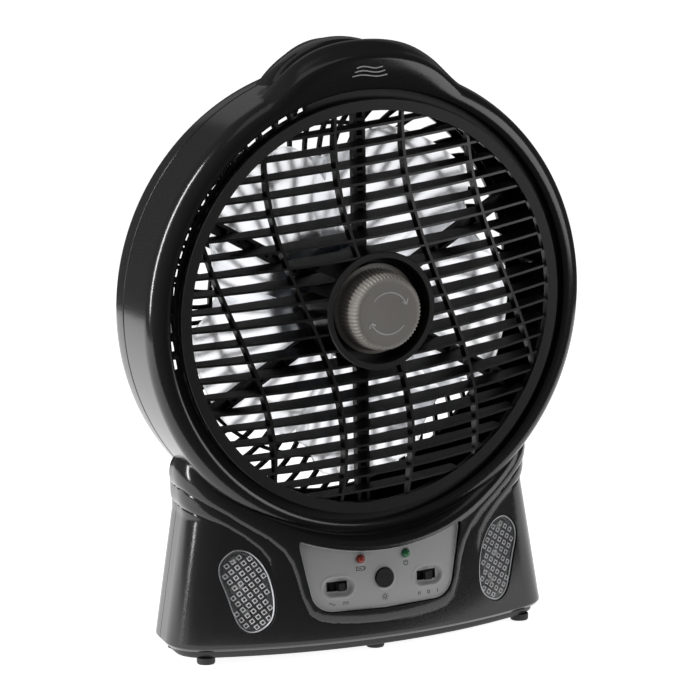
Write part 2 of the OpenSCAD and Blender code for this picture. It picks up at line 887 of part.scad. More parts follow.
module rubber_feet() color("#151515") {
    for (x = [-foot_x, foot_x], d = [foot_front_d, foot_back_d]) foot(x, d);
    foot(0, foot_mid_d);
}

module housing_screws() color("silver")
    for (a = boss_angles)
        screw(boss_ring_r * cos(a), axis_z + boss_ring_r * sin(a), screw_r, back_d - 8, 34);

// ---- Power ----

module battery_cells() color("#4a7ab0")
    for (i = [-1, 0], d = cell_rows)
        translate([i * (cell_len + 1) + 0.5, ring_y + d, cell_z]) rotate([0, 90, 0]) {
            cylinder(r = cell_r, h = cell_len - 1, $fn = 48);
            translate([0, 0, cell_len - 1]) cylinder(r = 3, h = 1, $fn = 32);
        }

module battery_cradle() color("#2b2b2b") difference() {
    translate([-cell_len - 3, ring_y + 14.5, lip_z + 2]) cube([2 * cell_len + 6, 42, 9]);
    for (d = cell_rows)
        translate([-cell_len - 1, ring_y + d, cell_z]) rotate([0, 90, 0])
            cylinder(r = cell_r + 0.15, h = 2 * cell_len + 2, $fn = 48);
}

module power_inlet() color("#1a1a1a") difference() {
    union() {
        rod(inlet_x, inlet_z, 5.4, back_d - 14, back_d - 1);
        rod(inlet_x, inlet_z, 6.6, back_d - 1, back_d);
    }
    difference() {
        rod(inlet_x, inlet_z, inlet_bore_r, back_d - 10, back_d + 1);
        rod(inlet_x, inlet_z, 1, back_d - 11, back_d - 1);
    }
}

front_shell();
rear_cover();
carry_handle();
bottom_tray();
rubber_feet();
housing_screws();
tray_screws();
rear_grille();
louvre_bracket();
bracket_screws();
louvre_spindle();
louvre_grille();
louvre_bush();
louvre_knob();
knob_cap();
fan_blade();
blade_nut();
motor_shaft();
motor_armature();
commutator();
motor_can();
motor_end_bell();
motor_magnets();
front_bearing();
rear_bearing();
motor_mount();
motor_screws();
control_panel();
speed_slider();
source_slider();
light_button();
charge_led();
power_led();
control_board();
speed_switch_body();
source_switch_body();
light_switch_body();
light_lens_left();
light_lens_right();
lamp_reflector_left();
lamp_reflector_right();
lamp_leds_left();
lamp_leds_right();
lamp_board_left();
lamp_board_right();
battery_cells();
battery_cradle();
power_inlet();
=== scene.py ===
"""Looks of a free-standing battery fan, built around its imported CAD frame. Units are metres."""
import json
import math

import bmesh
import bpy
from mathutils import Matrix, Vector


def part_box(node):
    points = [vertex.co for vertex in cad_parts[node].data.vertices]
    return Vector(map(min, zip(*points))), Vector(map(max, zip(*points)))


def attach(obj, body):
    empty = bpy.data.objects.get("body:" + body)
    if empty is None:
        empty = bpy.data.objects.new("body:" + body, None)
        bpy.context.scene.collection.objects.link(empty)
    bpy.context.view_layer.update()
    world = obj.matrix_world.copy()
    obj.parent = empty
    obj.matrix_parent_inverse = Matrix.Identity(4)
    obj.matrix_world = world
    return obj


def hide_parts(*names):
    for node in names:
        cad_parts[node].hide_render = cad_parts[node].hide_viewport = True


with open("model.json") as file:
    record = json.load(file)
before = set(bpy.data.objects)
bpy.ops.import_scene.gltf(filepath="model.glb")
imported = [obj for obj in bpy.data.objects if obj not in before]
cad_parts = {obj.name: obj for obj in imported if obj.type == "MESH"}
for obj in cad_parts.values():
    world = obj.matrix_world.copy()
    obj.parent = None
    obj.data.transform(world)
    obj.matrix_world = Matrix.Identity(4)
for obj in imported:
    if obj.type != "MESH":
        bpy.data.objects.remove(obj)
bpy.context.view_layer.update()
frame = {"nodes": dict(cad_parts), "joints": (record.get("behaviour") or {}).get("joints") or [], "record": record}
NODES = frame["nodes"]
MM = 0.001

# ---- Places taken from the frame ----
# RING is the point on the fan's axis where the louvre turns
SPIN = next(j for j in frame["joints"] if j["name"] == "louvre_spin")
RING = Vector(SPIN["pos_m"])

# ---- Camera: angles in degrees, distance in metres, lens and sensor in millimetres ----
AZIMUTH = -26.15
ELEVATION = 11.66
ROLL = -0.8
DISTANCE = 3.136
FOCAL_LENGTH = 259.08
SENSOR_WIDTH = 36.0
CLIP_END = 50.0
LOOK_AT = RING + Vector((-0.01632, 0.0, -0.02523))


def make_camera():
    """A long lens in front of the fan, turned to its left and slightly above it."""
    az, el, roll = (math.radians(v) for v in (AZIMUTH, ELEVATION, ROLL))
    back = Vector((math.sin(az) * math.cos(el), -math.cos(az) * math.cos(el), math.sin(el)))
    right = (-back).cross(Vector((0, 0, 1))).normalized()
    up = right.cross(-back)
    side = math.cos(roll) * right + math.sin(roll) * up
    top = -math.sin(roll) * right + math.cos(roll) * up
    data = bpy.data.cameras.new("camera")
    data.lens = FOCAL_LENGTH
    data.sensor_width = SENSOR_WIDTH
    data.clip_end = CLIP_END
    camera = bpy.data.objects.new("camera", data)
    turn = Matrix((side, top, back)).transposed().to_4x4()
    camera.matrix_world = Matrix.Translation(LOOK_AT + back * DISTANCE) @ turn
    bpy.context.scene.collection.objects.link(camera)
    bpy.context.scene.camera = camera


make_camera()


# ---- Materials ----
GRAIN_DETAIL = 4.0
GRAIN_HEIGHT = 0.0005
GRAIN_LOW, GRAIN_HIGH = 0.3, 0.7


def new_material(name, colour, roughness, metallic=0.0, **sockets):
    """A principled material; every extra keyword is a socket name with its spaces as underscores."""
    material = bpy.data.materials.new(name)
    material.use_nodes = True
    shader = material.node_tree.nodes["Principled BSDF"]
    shader.inputs["Base Color"].default_value = (*colour, 1.0)
    shader.inputs["Roughness"].default_value = roughness
    shader.inputs["Metallic"].default_value = metallic
    for socket, value in sockets.items():
        shader.inputs[socket.replace("_", " ")].default_value = value
    return material


def add_noise(material, scale, bump, colour_spread, rough_spread):
    """Fine moulded grain: a noise in object space that varies colour and roughness and lifts the surface."""
    nodes, links = material.node_tree.nodes, material.node_tree.links
    shader = nodes["Principled BSDF"]
    coordinates = nodes.new("ShaderNodeTexCoord")
    noise = nodes.new("ShaderNodeTexNoise")
    noise.inputs["Scale"].default_value = scale
    noise.inputs["Detail"].default_value = GRAIN_DETAIL
    links.new(coordinates.outputs["Object"], noise.inputs["Vector"])
    base = shader.inputs["Roughness"].default_value
    spread = nodes.new("ShaderNodeMapRange")
    spread.inputs["From Min"].default_value = GRAIN_LOW
    spread.inputs["From Max"].default_value = GRAIN_HIGH
    spread.inputs["To Min"].default_value = max(base - rough_spread, 0.02)
    spread.inputs["To Max"].default_value = base + rough_spread
    links.new(noise.outputs["Fac"], spread.inputs["Value"])
    links.new(spread.outputs["Result"], shader.inputs["Roughness"])
    base = shader.inputs["Base Color"].default_value
    ramp = nodes.new("ShaderNodeValToRGB")
    ramp.color_ramp.elements[0].position = GRAIN_LOW
    ramp.color_ramp.elements[1].position = GRAIN_HIGH
    ramp.color_ramp.elements[0].color = [v * (1 - colour_spread) for v in base[:3]] + [1]
    ramp.color_ramp.elements[1].color = [v * (1 + colour_spread) for v in base[:3]] + [1]
    links.new(noise.outputs["Fac"], ramp.inputs["Fac"])
    links.new(ramp.outputs["Color"], shader.inputs["Base Color"])
    if bump:
        height = nodes.new("ShaderNodeBump")
        height.inputs["Strength"].default_value = bump
        height.inputs["Distance"].default_value = GRAIN_HEIGHT
        links.new(noise.outputs["Fac"], height.inputs["Height"])
        links.new(height.outputs["Normal"], shader.inputs["Normal"])
    return material


def grained(name, colour, roughness, grain, metallic=0.0, **sockets):
    """A material with grain: the noise's scale, its bump, and how far it spreads colour and roughness."""
    return add_noise(new_material(name, colour, roughness, metallic, **sockets), *grain)


SHELL = grained("shell_plastic", (0.015, 0.015, 0.016), 0.16, (900, 0.04, 0.08, 0.03))
LOUVRE = grained("louvre_plastic", (0.009, 0.008, 0.0078), 0.38, (1200, 0.08, 0.1, 0.05))
BLACK = grained("inner_black_plastic", (0.01, 0.0095, 0.0095), 0.45, (1000, 0.1, 0.1, 0.05))
KNOB = grained("knob_grey_plastic", (0.36, 0.34, 0.31), 0.42, (1500, 0.08, 0.04, 0.05))
PANEL = grained("panel_silver", (0.36, 0.36, 0.365), 0.4, (2500, 0.1, 0.05, 0.05))
CONTROL = grained("control_black", (0.012, 0.012, 0.013), 0.3, (1500, 0.05, 0.1, 0.04))
BLADE = grained(
    "blade_smoky", (0.95, 0.96, 0.98), 0.45, (14, 0.0, 0.04, 0.04), Transmission_Weight=1.0, IOR=1.1)
LENS_CLEAR = grained(
    "lens_clear", (0.9, 0.91, 0.92), 0.16, (600, 0.05, 0.02, 0.03), Transmission_Weight=0.95)
# Reflector: its dark grey is painted shade for the dim inside of the lamps; the plated reflector itself would be
# bright
REFLECTOR_PAINTED_DARK = grained("reflector_dark_painted_shade", (0.12, 0.12, 0.125), 0.3, (800, 0.05, 0.02, 0.03), metallic=0.8)
LED_WHITE = grained("led_white", (0.85, 0.85, 0.8), 0.3, (900, 0.02, 0.02, 0.02))
LED_RED = grained("led_red", (0.35, 0.03, 0.02), 0.2, (900, 0.02, 0.05, 0.03), Transmission_Weight=0.3)
LED_GREEN = grained("led_green", (0.02, 0.2, 0.07), 0.2, (900, 0.02, 0.05, 0.03), Transmission_Weight=0.3)
BOARD = grained("board_green", (0.02, 0.14, 0.06), 0.45, (700, 0.05, 0.15, 0.05))
SWITCH = grained("switch_grey", (0.1, 0.1, 0.105), 0.5, (900, 0.05, 0.1, 0.05))
RUBBER = grained("foot_rubber", (0.016, 0.016, 0.016), 0.7, (2200, 0.2, 0.1, 0.05))
STEEL = grained("plated_steel", (0.6, 0.6, 0.61), 0.3, (1500, 0.08, 0.05, 0.08), metallic=1.0)
MOTOR = grained("motor_enamel", (0.075, 0.1, 0.14), 0.35, (500, 0.05, 0.1, 0.05))
COPPER = grained("copper", (0.7, 0.3, 0.14), 0.35, (900, 0.1, 0.1, 0.08), metallic=1.0)
MAGNET = grained("ferrite", (0.06, 0.058, 0.056), 0.6, (900, 0.1, 0.1, 0.05))
BUSH = grained("acetal_white", (0.78, 0.76, 0.7), 0.4, (900, 0.04, 0.03, 0.04))
CELL = grained("cell_sleeve", (0.05, 0.16, 0.4), 0.3, (600, 0.04, 0.05, 0.04))

LENS_RING = grained("lens_frosted", (0.8, 0.8, 0.82), 0.3, (900, 0.05, 0.03, 0.05), Transmission_Weight=0.2)
LENS_RIM = grained("lens_edge", (0.72, 0.73, 0.75), 0.25, (900, 0.05, 0.03, 0.05))
PANEL_RIM = grained("panel_edge", (0.62, 0.62, 0.63), 0.28, (2500, 0.05, 0.04, 0.04))
PRINT_DARK = grained("print_dark", (0.03, 0.03, 0.032), 0.5, (3000, 0.05, 0.15, 0.05))
PRINT_PALE = grained("print_pale", (0.72, 0.72, 0.72), 0.45, (3000, 0.05, 0.04, 0.05))
BLADE_HUB = grained(
    "blade_hub_smoky", (0.3, 0.32, 0.36), 0.25, (300, 0.03, 0.05, 0.05), Transmission_Weight=0.4)

SLOT_MATERIAL = {
    "shell": SHELL, "louvre": LOUVRE, "inner_black": BLACK, "knob_grey": KNOB, "panel_silver": PANEL,
    "control_black": CONTROL, "blade_clear": BLADE, "lens_clear": LENS_CLEAR, "reflector": REFLECTOR_PAINTED_DARK,
    "led_white": LED_WHITE, "led_red": LED_RED, "led_green": LED_GREEN, "board_green": BOARD,
    "switch_grey": SWITCH, "rubber_black": RUBBER, "steel": STEEL, "motor_paint": MOTOR,
    "copper": COPPER, "magnet": MAGNET, "bush_white": BUSH, "cell_wrap": CELL,
}

for part in frame["record"]["subparts"]:
    mesh = NODES[part["node"]].data
    mesh.materials.clear()
    mesh.materials.append(SLOT_MATERIAL[part["material_slot"]])


# ---- Shared shapes, in millimetres about the louvre axis: x, depth behind the ring, height ----
def place(x, depth, height):
    """A point in metres from millimetres about the louvre axis."""
    return RING + Vector((x, depth, height)) * MM


def around(radius, depth, angle):
    """A point at an angle about the louvre axis, from the right and towards the top."""
    return place(radius * math.cos(angle), depth, radius * math.sin(angle))


def smooth_step(value):
    """Eases from 0 to 1."""
    value = min(max(value, 0.0), 1.0)
    return value * value * (3 - 2 * value)


def closed(loop):
    return loop + loop[:1]


MERGE = 1e-6


def grid_object(name, rows, body, material, wrap=False, flip=False, thick=0.0, sharp=35):
    """A surface through rows of points; wrap joins the last row to the first."""
    wide = len(rows[0])
    points = [p for row in rows for p in row]
    faces = []
    for j in range(len(rows) if wrap else len(rows) - 1):
        a, b = j * wide, (j + 1) % len(rows) * wide
        for i in range(wide - 1):
            quad = (a + i, a + i + 1, b + i + 1, b + i)
            faces.append(quad[::-1] if flip else quad)
    return mesh_object(name, points, faces, body, material, thick, sharp)


def mesh_object(name, points, faces, body, material, thick=0.0, sharp=35):
    """A piece from points and faces; thick is in millimetres and sharp in degrees."""
    mesh = bpy.data.meshes.new(name)
    mesh.from_pydata([tuple(p) for p in points], [], faces)
    mesh.materials.append(material)
    piece = bpy.data.objects.new(name, mesh)
    bpy.context.scene.collection.objects.link(piece)
    tidy = bmesh.new()
    tidy.from_mesh(mesh)
    bmesh.ops.remove_doubles(tidy, verts=tidy.verts, dist=MERGE)
    tidy.to_mesh(mesh)
    tidy.free()
    mesh.shade_smooth()
    mesh.set_sharp_from_angle(angle=math.radians(sharp))
    if thick:
        solid = piece.modifiers.new("thickness", "SOLIDIFY")
        solid.thickness = thick * MM
        solid.offset = -1
    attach(piece, body)
    return piece


# ---- Drum: a profile of (radius, depth) that grows into the crest at the top ----
WIDEST_R = 150.2
WIDEST_D = 12
SHOULDER_R = 10.5
SHOULDER_MID = (139.7, 12.0)
SEAM_R = 147.6
SEAM_D = 50.0
LIP = [(136.6, 9.9), (136.6, 4.6), (137.0, 2.8), (138.2, 1.8), (139.7, 1.5)]
CREST = [
    (144, 0.9), (150, 0.3), (155.5, 0.4), (158, 1.0), (159.3, 2.2), (160.6, 4.2), (162.6, 6.6), (164.8, 9.2),
    (166.4, 11.6), (167, 13.8), (166.6, 16), (165, 18.3), (161.8, 20.8), (158.2, 23.2), (154.8, 25.8),
    (152, 28.6), (150.2, 31.5), (149, 35),
]
SHOULDER_STEPS = 9
INSIDE = [(147.2, 49.7), (145.2, 49.7), (145.0, 30), (145.0, 13.0), (138.0, 12.4)]
SIDE_DEPTHS = (40, 45, 49.2)
CREST_MID_Z = 81.0
CREST_R = 86.0
CREST_END_D = 35
CREST_PLAIN = 0.35
CREST_FROM, CREST_TO = 56, 124


def taper_r(depth):
    """Outer radius of the drum, which narrows from its widest place to the seam."""
    return WIDEST_R - (depth - WIDEST_D) * (WIDEST_R - SEAM_R) / (SEAM_D - WIDEST_D)


def plain_profile():
    """Outer profile without the crest, with one point for each point of CREST."""
    outer = []
    for k in range(1, SHOULDER_STEPS + 1):
        turn = math.radians(-90 + 90 * k / SHOULDER_STEPS)
        radius = SHOULDER_MID[0] + SHOULDER_R * math.cos(turn)
        outer.append((radius, SHOULDER_MID[1] + SHOULDER_R * math.sin(turn)))
    rest = len(CREST) - SHOULDER_STEPS
    for k in range(1, rest + 1):
        depth = WIDEST_D + (CREST_END_D - WIDEST_D) * k / rest
        outer.append((taper_r(depth), depth))
    return outer


def crest_weight(theta):
    """How far the profile has grown into the crest at an angle, from 0 to 1."""
    side, up = CREST_MID_Z * math.cos(theta), CREST_MID_Z * math.sin(theta)
    inside = CREST_R ** 2 - side ** 2
    if up < 0 or inside < 0:
        return 0.0
    share = (up + math.sqrt(inside) - WIDEST_R) / (CREST_MID_Z + CREST_R - WIDEST_R)
    if share <= 0:
        return 0.0
    return CREST_PLAIN * min(share, 1) + (1 - CREST_PLAIN) * smooth_step(share)


def drum_ring(theta):
    weight = crest_weight(theta)
    outer = [
        ((1 - weight) * p[0] + weight * c[0], (1 - weight) * p[1] + weight * c[1])
        for p, c in zip(plain_profile(), CREST)
    ]
    loop = LIP + outer + [(taper_r(d), d) for d in SIDE_DEPTHS] + INSIDE
    return [around(r, d, theta) for r, d in closed(loop)]


def drum_angles():
    """Angles around the drum, closer together over the crest."""
    coarse = [math.radians(a) for a in range(CREST_TO, CREST_FROM + 360, 2)]
    fine = [math.radians(CREST_FROM + 0.5 * k) for k in range(2 * (CREST_TO - CREST_FROM))]
    return fine + coarse


def make_drum():
    rings = [drum_ring(a) for a in drum_angles()]
    piece = grid_object("front_drum", rings, "housing", SHELL, wrap=True)
    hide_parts("front_shell")


# ---- Base: one wall that runs along a side, around a corner and across the bowed front ----
FLOOR = -RING.z / MM
WALL = 2.2
SEAM_GAP = 0.3
BASE_Z0 = 10.8
BOW_R = 300.0
BOW_FRONT_D = -15.0
SKIRT_STEP = 3.2
LEAN = math.tan(math.radians(4.3))
SIDE_TAPER = 0.158
SIDE_REF_D = 20.0
BASE_HALF = 129.8
BASE_HALF_Z = 14
BASE_NARROWS = 0.164
BASE_HALF_MIN = 117.2
CORNER = 19.0
CORNER_RUN = 1.6
ROLL_R = 152.4
EDGE_R = 145.5
ROLL_X_MAX = 121
ROLL_DEEP, ROLL_SHALLOW = 13, 5
ROLL_TURN, ROLL_TURN_RUN = 92, 26
# Height above the lowest edge and inset of the small bevel there, and where the wall proper starts
FOOT_BEVEL = [(0.0, 1.6), (0.2, 0.7)]
BEVEL_TOP = 0.9
FRONT_STEPS = 110
CORNER_STEPS = 12
SIDE_STEPS = 18
UP_STEPS = 96
ROLL_STEPS = 9
CORNER_TRIES = 5
TOP_TRIES = 6
FIRST_X = 100.0
# Rise and width of both raised tiers, and what they gain where they wrap around the side
UPPER_TIER, UPPER_GAIN = (1.9, 6.5), (0.1, 1.0)
LOWER_TIER, LOWER_GAIN = (1.4, 6.0), (0.8, 1.0)
WRAP_FROM, WRAP_RUN = 85, 35
FADE_FROM, FADE_RUN = -172, 26
GROOVE = 0.2
GROOVE_OUT, GROOVE_IN = 1.3, 0.8
# Lower edge of each tier: distance from the middle along the wall and height about the axis
UPPER_EDGE = [
    (260, -108), (122, -108), (112, -112), (104, -117), (91, -127), (73.5, -139), (64.5, -147.5),
    (59.8, -156), (57, -165), (53.5, -179), (49.5, -189), (44, -193), (36, -195), (17, -197), (0, -197.5),
]
LOWER_EDGE = [
    (260, -121), (122, -121), (112, -123), (102.5, -127), (88, -137), (78.5, -145.5), (73.5, -153),
    (71.5, -162), (70.5, -175),
]


def half_width(height):
    """Half the base's width; heights of the base are above the floor."""
    return max(BASE_HALF - BASE_NARROWS * (height - BASE_HALF_Z), BASE_HALF_MIN)


def bow(x):
    """How far the bowed front falls back at a distance from the middle."""
    return BOW_R - math.sqrt(BOW_R ** 2 - x * x)


def front_depth(x, height, step):
    """Depth of the leaning front, set back by a step from its foremost surface."""
    return BOW_FRONT_D + step + LEAN * (height - BASE_Z0) + bow(x)


def side_x(depth, height):
    """Half the width at a depth: the sides draw in towards the back."""
    return half_width(height) - SIDE_TAPER * (depth - SIDE_REF_D)


def corner_x(height):
    """Where the front and the side would meet without the rounded corner."""
    x = half_width(height)
    for _ in range(CORNER_TRIES):
        x = side_x(front_depth(x, height, SKIRT_STEP), height)
    return x


def bend(a, b, c, t):
    """A point at share t of a curve from a to c that is pulled to b."""
    return tuple((1 - t) ** 2 * p + 2 * t * (1 - t) * q + t * t * r for p, q, r in zip(a, b, c))


def front_plan(i, height):
    """Column i of the right half in plan at a height: x, depth and the distance along the wall."""
    xc = corner_x(height)
    start = (xc - CORNER, front_depth(xc - CORNER, height, SKIRT_STEP))
    if i <= FRONT_STEPS:
        x = start[0] * i / FRONT_STEPS
        return x, front_depth(x, height, SKIRT_STEP), x
    middle = (xc, front_depth(xc, height, SKIRT_STEP))
    end_d = middle[1] + CORNER
    end = (side_x(end_d, height), end_d)
    if i <= FRONT_STEPS + CORNER_STEPS:
        t = (i - FRONT_STEPS) / CORNER_STEPS
        x, depth = bend(start, middle, end, t)
        return x, depth, start[0] + t * CORNER_RUN * CORNER
    t = (i - FRONT_STEPS - CORNER_STEPS) / SIDE_STEPS
    depth = end_d + (SEAM_D - SEAM_GAP - end_d) * t
    return side_x(depth, height), depth, start[0] + CORNER_RUN * CORNER + depth - end_d


def edge_distance(line, u, height):
    """Distance of a point above an edge line; negative below it."""
    best = 1e9
    level = line[-1][1]
    for (x0, z0), (x1, z1) in zip(line, line[1:]):
        dx, dz = x1 - x0, z1 - z0
        t = min(max(((u - x0) * dx + (height - z0) * dz) / (dx * dx + dz * dz), 0), 1)
        best = min(best, math.hypot(u - x0 - t * dx, height - z0 - t * dz))
        if x1 <= u <= x0:
            level = z0 + (z1 - z0) * (x0 - u) / (x0 - x1)
    if u < line[-1][0]:
        level = -1e9
    return best if height > level else -best


def tier(distance, rise, width):
    """A step with a crisp foot and a rounded shoulder."""
    if distance <= 0:
        return -GROOVE * math.exp(-(distance / GROOVE_OUT) ** 2) * min(rise, 1)
    share = min(distance / width, 1)
    groove = GROOVE * math.exp(-(distance / GROOVE_IN) ** 2) * min(rise, 1)
    return rise * math.sqrt(1 - (1 - share) ** 2) - groove


def tiers(u, height, share):
    """How far both tiers stand out at a distance along the wall and a height about the axis."""
    wrap = smooth_step((u - WRAP_FROM) / WRAP_RUN)
    rise, width = (size + gain * wrap for size, gain in zip(UPPER_TIER, UPPER_GAIN))
    upper = tier(edge_distance(UPPER_EDGE, u, height), rise, width)
    fade = smooth_step((height - FADE_FROM) / FADE_RUN)
    rise, width = (size + gain * wrap for size, gain in zip(LOWER_TIER, LOWER_GAIN))
    lower = tier(edge_distance(LOWER_EDGE, u, height), rise * fade, width)
    return share * (upper + lower)


def wall_point(plan, i, height, inward, share=1.0):
    """Point of column i at a height above the floor, moved in by a distance and out by the tiers."""
    x, depth, u = plan(i, height)
    x0, d0, _ = plan(max(i - 1, 0), height)
    x1, d1, _ = plan(i + 1, height)
    out = Vector((d1 - d0, -(x1 - x0)))
    out.normalize()
    move = tiers(u, height + FLOOR, share) - inward
    return x + out.x * move, depth + out.y * move, height


def column(spot, top, last, roll_deep):
    """Points from the bevel at the foot up the wall and over its rolled top edge."""
    points = [spot(BASE_Z0 + up, inset) for up, inset in FOOT_BEVEL]
    low = BASE_Z0 + BEVEL_TOP
    points += [spot(low + (top - FLOOR - low) * k / UP_STEPS, 0.0) for k in range(UP_STEPS + 1)]
    for turn in (math.radians(90 * k / ROLL_STEPS) for k in range(1, ROLL_STEPS + 1)):
        height = top + (last - top) * math.sin(turn) - FLOOR
        points.append(spot(height, roll_deep * (1 - math.cos(turn))))
    return points


def front_column(i):
    x = FIRST_X
    for _ in range(TOP_TRIES):
        top = -math.sqrt(ROLL_R ** 2 - min(x, ROLL_X_MAX) ** 2)
        x = front_plan(i, top - FLOOR)[0]
    last = -math.sqrt(EDGE_R ** 2 - min(x, ROLL_X_MAX) ** 2)
    u = front_plan(i, top - FLOOR)[2]
    roll_deep = ROLL_DEEP - (ROLL_DEEP - ROLL_SHALLOW) * smooth_step((u - ROLL_TURN) / ROLL_TURN_RUN)
    return column(lambda height, inset: wall_point(front_plan, i, height, inset), top, last, roll_deep)


def mirrored(half):
    """Both halves of a wall from its right half, as rows of placed points from the left to the right."""
    left = [[(-x, d, z) for x, d, z in column] for column in half[:0:-1]]
    return [[place(x, d, z + FLOOR) for x, d, z in column] for column in left + half]


# Outline of the right lamp, drawn about its own middle line and then shifted onto the wall
LENS_SHIFT = (-1.4, 0.6)
LENS_SPOTS = [
    (95.5, -146), (101.7, -149.3), (105.8, -155), (106.2, -162.5), (102.6, -174), (99.2, -186), (95.2, -195),
    (88.5, -199.2), (80.5, -197), (74.5, -190), (73.2, -178), (75.6, -164.5), (80.5, -154.5), (87.4, -147.7),
]


def rounded_loop(spots, steps):
    """A smooth closed curve through a few spots."""
    loop = []
    count = len(spots)
    for i in range(count):
        a, b, c, d = (Vector(spots[(i + k) % count]) for k in (-1, 0, 1, 2))
        for k in range(steps):
            t = k / steps
            loop.append(0.5 * (2 * b + (c - a) * t + (2 * a - 5 * b + 4 * c - d) * t * t
                               + (3 * b - a - 3 * c + d) * t ** 3))
    return loop


def lens_loop(grow=0.0):
    """Outline of the right lamp, clockwise."""
    spots = [(x + LENS_SHIFT[0], z + LENS_SHIFT[1]) for x, z in LENS_SPOTS]
    return grown(rounded_loop(spots, 5), grow)


def grown(loop, grow):
    """A closed loop moved outward by a distance; the loop runs clockwise."""
    out = []
    count = len(loop)
    for i in range(count):
        along = (loop[(i + 1) % count] - loop[i - 1]).normalized()
        out.append(loop[i] + Vector((-along.y, along.x)) * grow)
    return out


PANEL_TOP_R = 152.4
PANEL_TOP_TURN = 21.0
PANEL_TOP_STEPS = 12
PANEL_SHOULDER = [(57.2, -141.2), (56.2, -147.8)]
PANEL_FOOT = [(50.3, -176.5), (47.0, -188.2), (36.0, -188.9)]
PANEL_BOTTOM = -189.7
PANEL_CORNER_STEPS = 8


def panel_loop(grow=0.0):
    """Outline of the control panel, clockwise from the middle of its top arc, with round corners."""
    half = []
    for k in range(PANEL_TOP_STEPS + 1):
        angle = math.radians(90 - PANEL_TOP_TURN * k / PANEL_TOP_STEPS)
        half.append(Vector((PANEL_TOP_R * math.cos(angle), -PANEL_TOP_R * math.sin(angle))))
    for a, b, c in (((half[-1].x, half[-1].y), *PANEL_SHOULDER), PANEL_FOOT):
        half += [Vector(bend(a, b, c, k / PANEL_CORNER_STEPS)) for k in range(1, PANEL_CORNER_STEPS + 1)]
    half.append(Vector((0, PANEL_BOTTOM)))
    left = [Vector((-p.x, p.y)) for p in half[-2:0:-1]]
    return grown(half + left, grow)


# Depths between which the cutters run
THROUGH = (-60, 60)
PANEL_OPENING = (-60, 12)
PANEL_EDGE = (-60, 40)
INLET_OPENING = (60, 90)
OPENING_GAP = 0.35


def prism(name, loop, d0, d1, mirror=1):
    """A hidden cutter that runs back through the wall."""
    count = len(loop)
    points = [place(mirror * p.x, d, p.y) for d in (d0, d1) for p in loop]
    faces = [list(range(count)), list(range(2 * count - 1, count - 1, -1))]
    faces += [[i, i + count, (i + 1) % count + count, (i + 1) % count] for i in range(count)]
    mesh = bpy.data.meshes.new(name)
    mesh.from_pydata(points, [], faces)
    shape = bmesh.new()
    shape.from_mesh(mesh)
    bmesh.ops.recalc_face_normals(shape, faces=shape.faces)
    shape.to_mesh(mesh)
    shape.free()
    cutter = bpy.data.objects.new(name, mesh)
    bpy.context.scene.collection.objects.link(cutter)
    return cutter


def cut(piece, cutters, operation="DIFFERENCE", solver="EXACT"):
    """Applies the piece's modifiers and cuts it with each cutter in turn."""
    for cutter in cutters:
        step = piece.modifiers.new("cut", "BOOLEAN")
        step.operation = operation
        step.object = cutter
        step.solver = solver
    seen = piece.evaluated_get(bpy.context.evaluated_depsgraph_get())
    mesh = bpy.data.meshes.new_from_object(seen)
    piece.modifiers.clear()
    piece.data = mesh
    mesh.set_sharp_from_angle(angle=math.radians(35))
    for cutter in cutters:
        bpy.data.objects.remove(cutter)


def make_base_front():
    half = [front_column(i) for i in range(FRONT_STEPS + CORNER_STEPS + SIDE_STEPS + 1)]
    piece = grid_object("base_front", mirrored(half), "housing", SHELL, thick=WALL)
    lenses = [prism("lens_cut", lens_loop(OPENING_GAP), *THROUGH, side) for side in (-1, 1)]
    cut(piece, [prism("panel_cut", panel_loop(OPENING_GAP), *PANEL_OPENING)] + lenses)
    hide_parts("front_shell")


# ---- Flange behind the louvre ring, with a row of short slots down its left side ----
SLOT_PITCH = 5.0
SLOT_HALF = 1.75
SLOTS_FROM, SLOTS_TO = 107, 193
SLOT_RADII = (126.6, 132.7, 136.0, 138.2)
FLANGE_D = 9.9
FLANGE_T = 2.5


def has_slot(angle):
    """Slots run from just below the middle up to the crest on the left side."""
    return SLOTS_FROM < angle < SLOTS_TO


def make_flange():
    stations = []
    for i in range(round(360 / SLOT_PITCH)):
        middle = i * SLOT_PITCH
        stations += [(middle - SLOT_HALF, has_slot(middle)), (middle + SLOT_HALF, False)]
    rings = len(SLOT_RADII)
    points, faces = [], []
    for angle, _ in stations:
        points += [around(r, FLANGE_D, math.radians(angle)) for r in SLOT_RADII]
    for i, (_, is_slot) in enumerate(stations):
        a, b = i * rings, (i + 1) % len(stations) * rings
        strips = (0, 2) if is_slot else range(rings - 1)
        faces += [(b + j, b + j + 1, a + j + 1, a + j) for j in strips]
    piece = mesh_object("slotted_flange", points, faces, "housing", BLACK, FLANGE_T)
    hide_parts("front_shell")


# ---- Rear cover ----
BACK_D = 71.6
BACK_CORNER = 15.0
BACK_STEPS = 70
# Radius of the base's top edge and of the start of its roll: behind the drum, and what they gain on the side
BACK_ROLL_R, BACK_ROLL_GAIN = 141, 15.5
BACK_EDGE_R, BACK_EDGE_GAIN = 140, 10
BACK_ROLL_DEEP = 5
BACK_TIER_SHARE = -0.45
# Distances along the wall for the back, its corner and its side, where the tiers run level
BACK_RUN, BACK_CORNER_RUN, BACK_SIDE_RUN = 400, 220, 200
REAR_TURNS = 180
REAR_RIM = [
    (147.3, 50.3), (147.7, 50.9), (147.4, 55), (146.9, 61),
    (146.3, 64.4), (144.7, 67.4), (142.3, 69.6), (139.4, 70.9), (136.4, 71.3), (134.8, 71.2), (134.2, 70.6),
    (134.2, 67.0), (136, 66.4), (143, 65.5), (145.2, 60), (145.3, 50.3),
]


def make_rear_drum():
    loop = closed(REAR_RIM)
    rings = [
        [around(r, d, a) for r, d in loop]
        for a in (math.radians(k * 360 / REAR_TURNS) for k in range(REAR_TURNS))
    ]
    piece = grid_object("rear_drum", rings, "housing", SHELL, wrap=True)
    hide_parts("rear_cover")


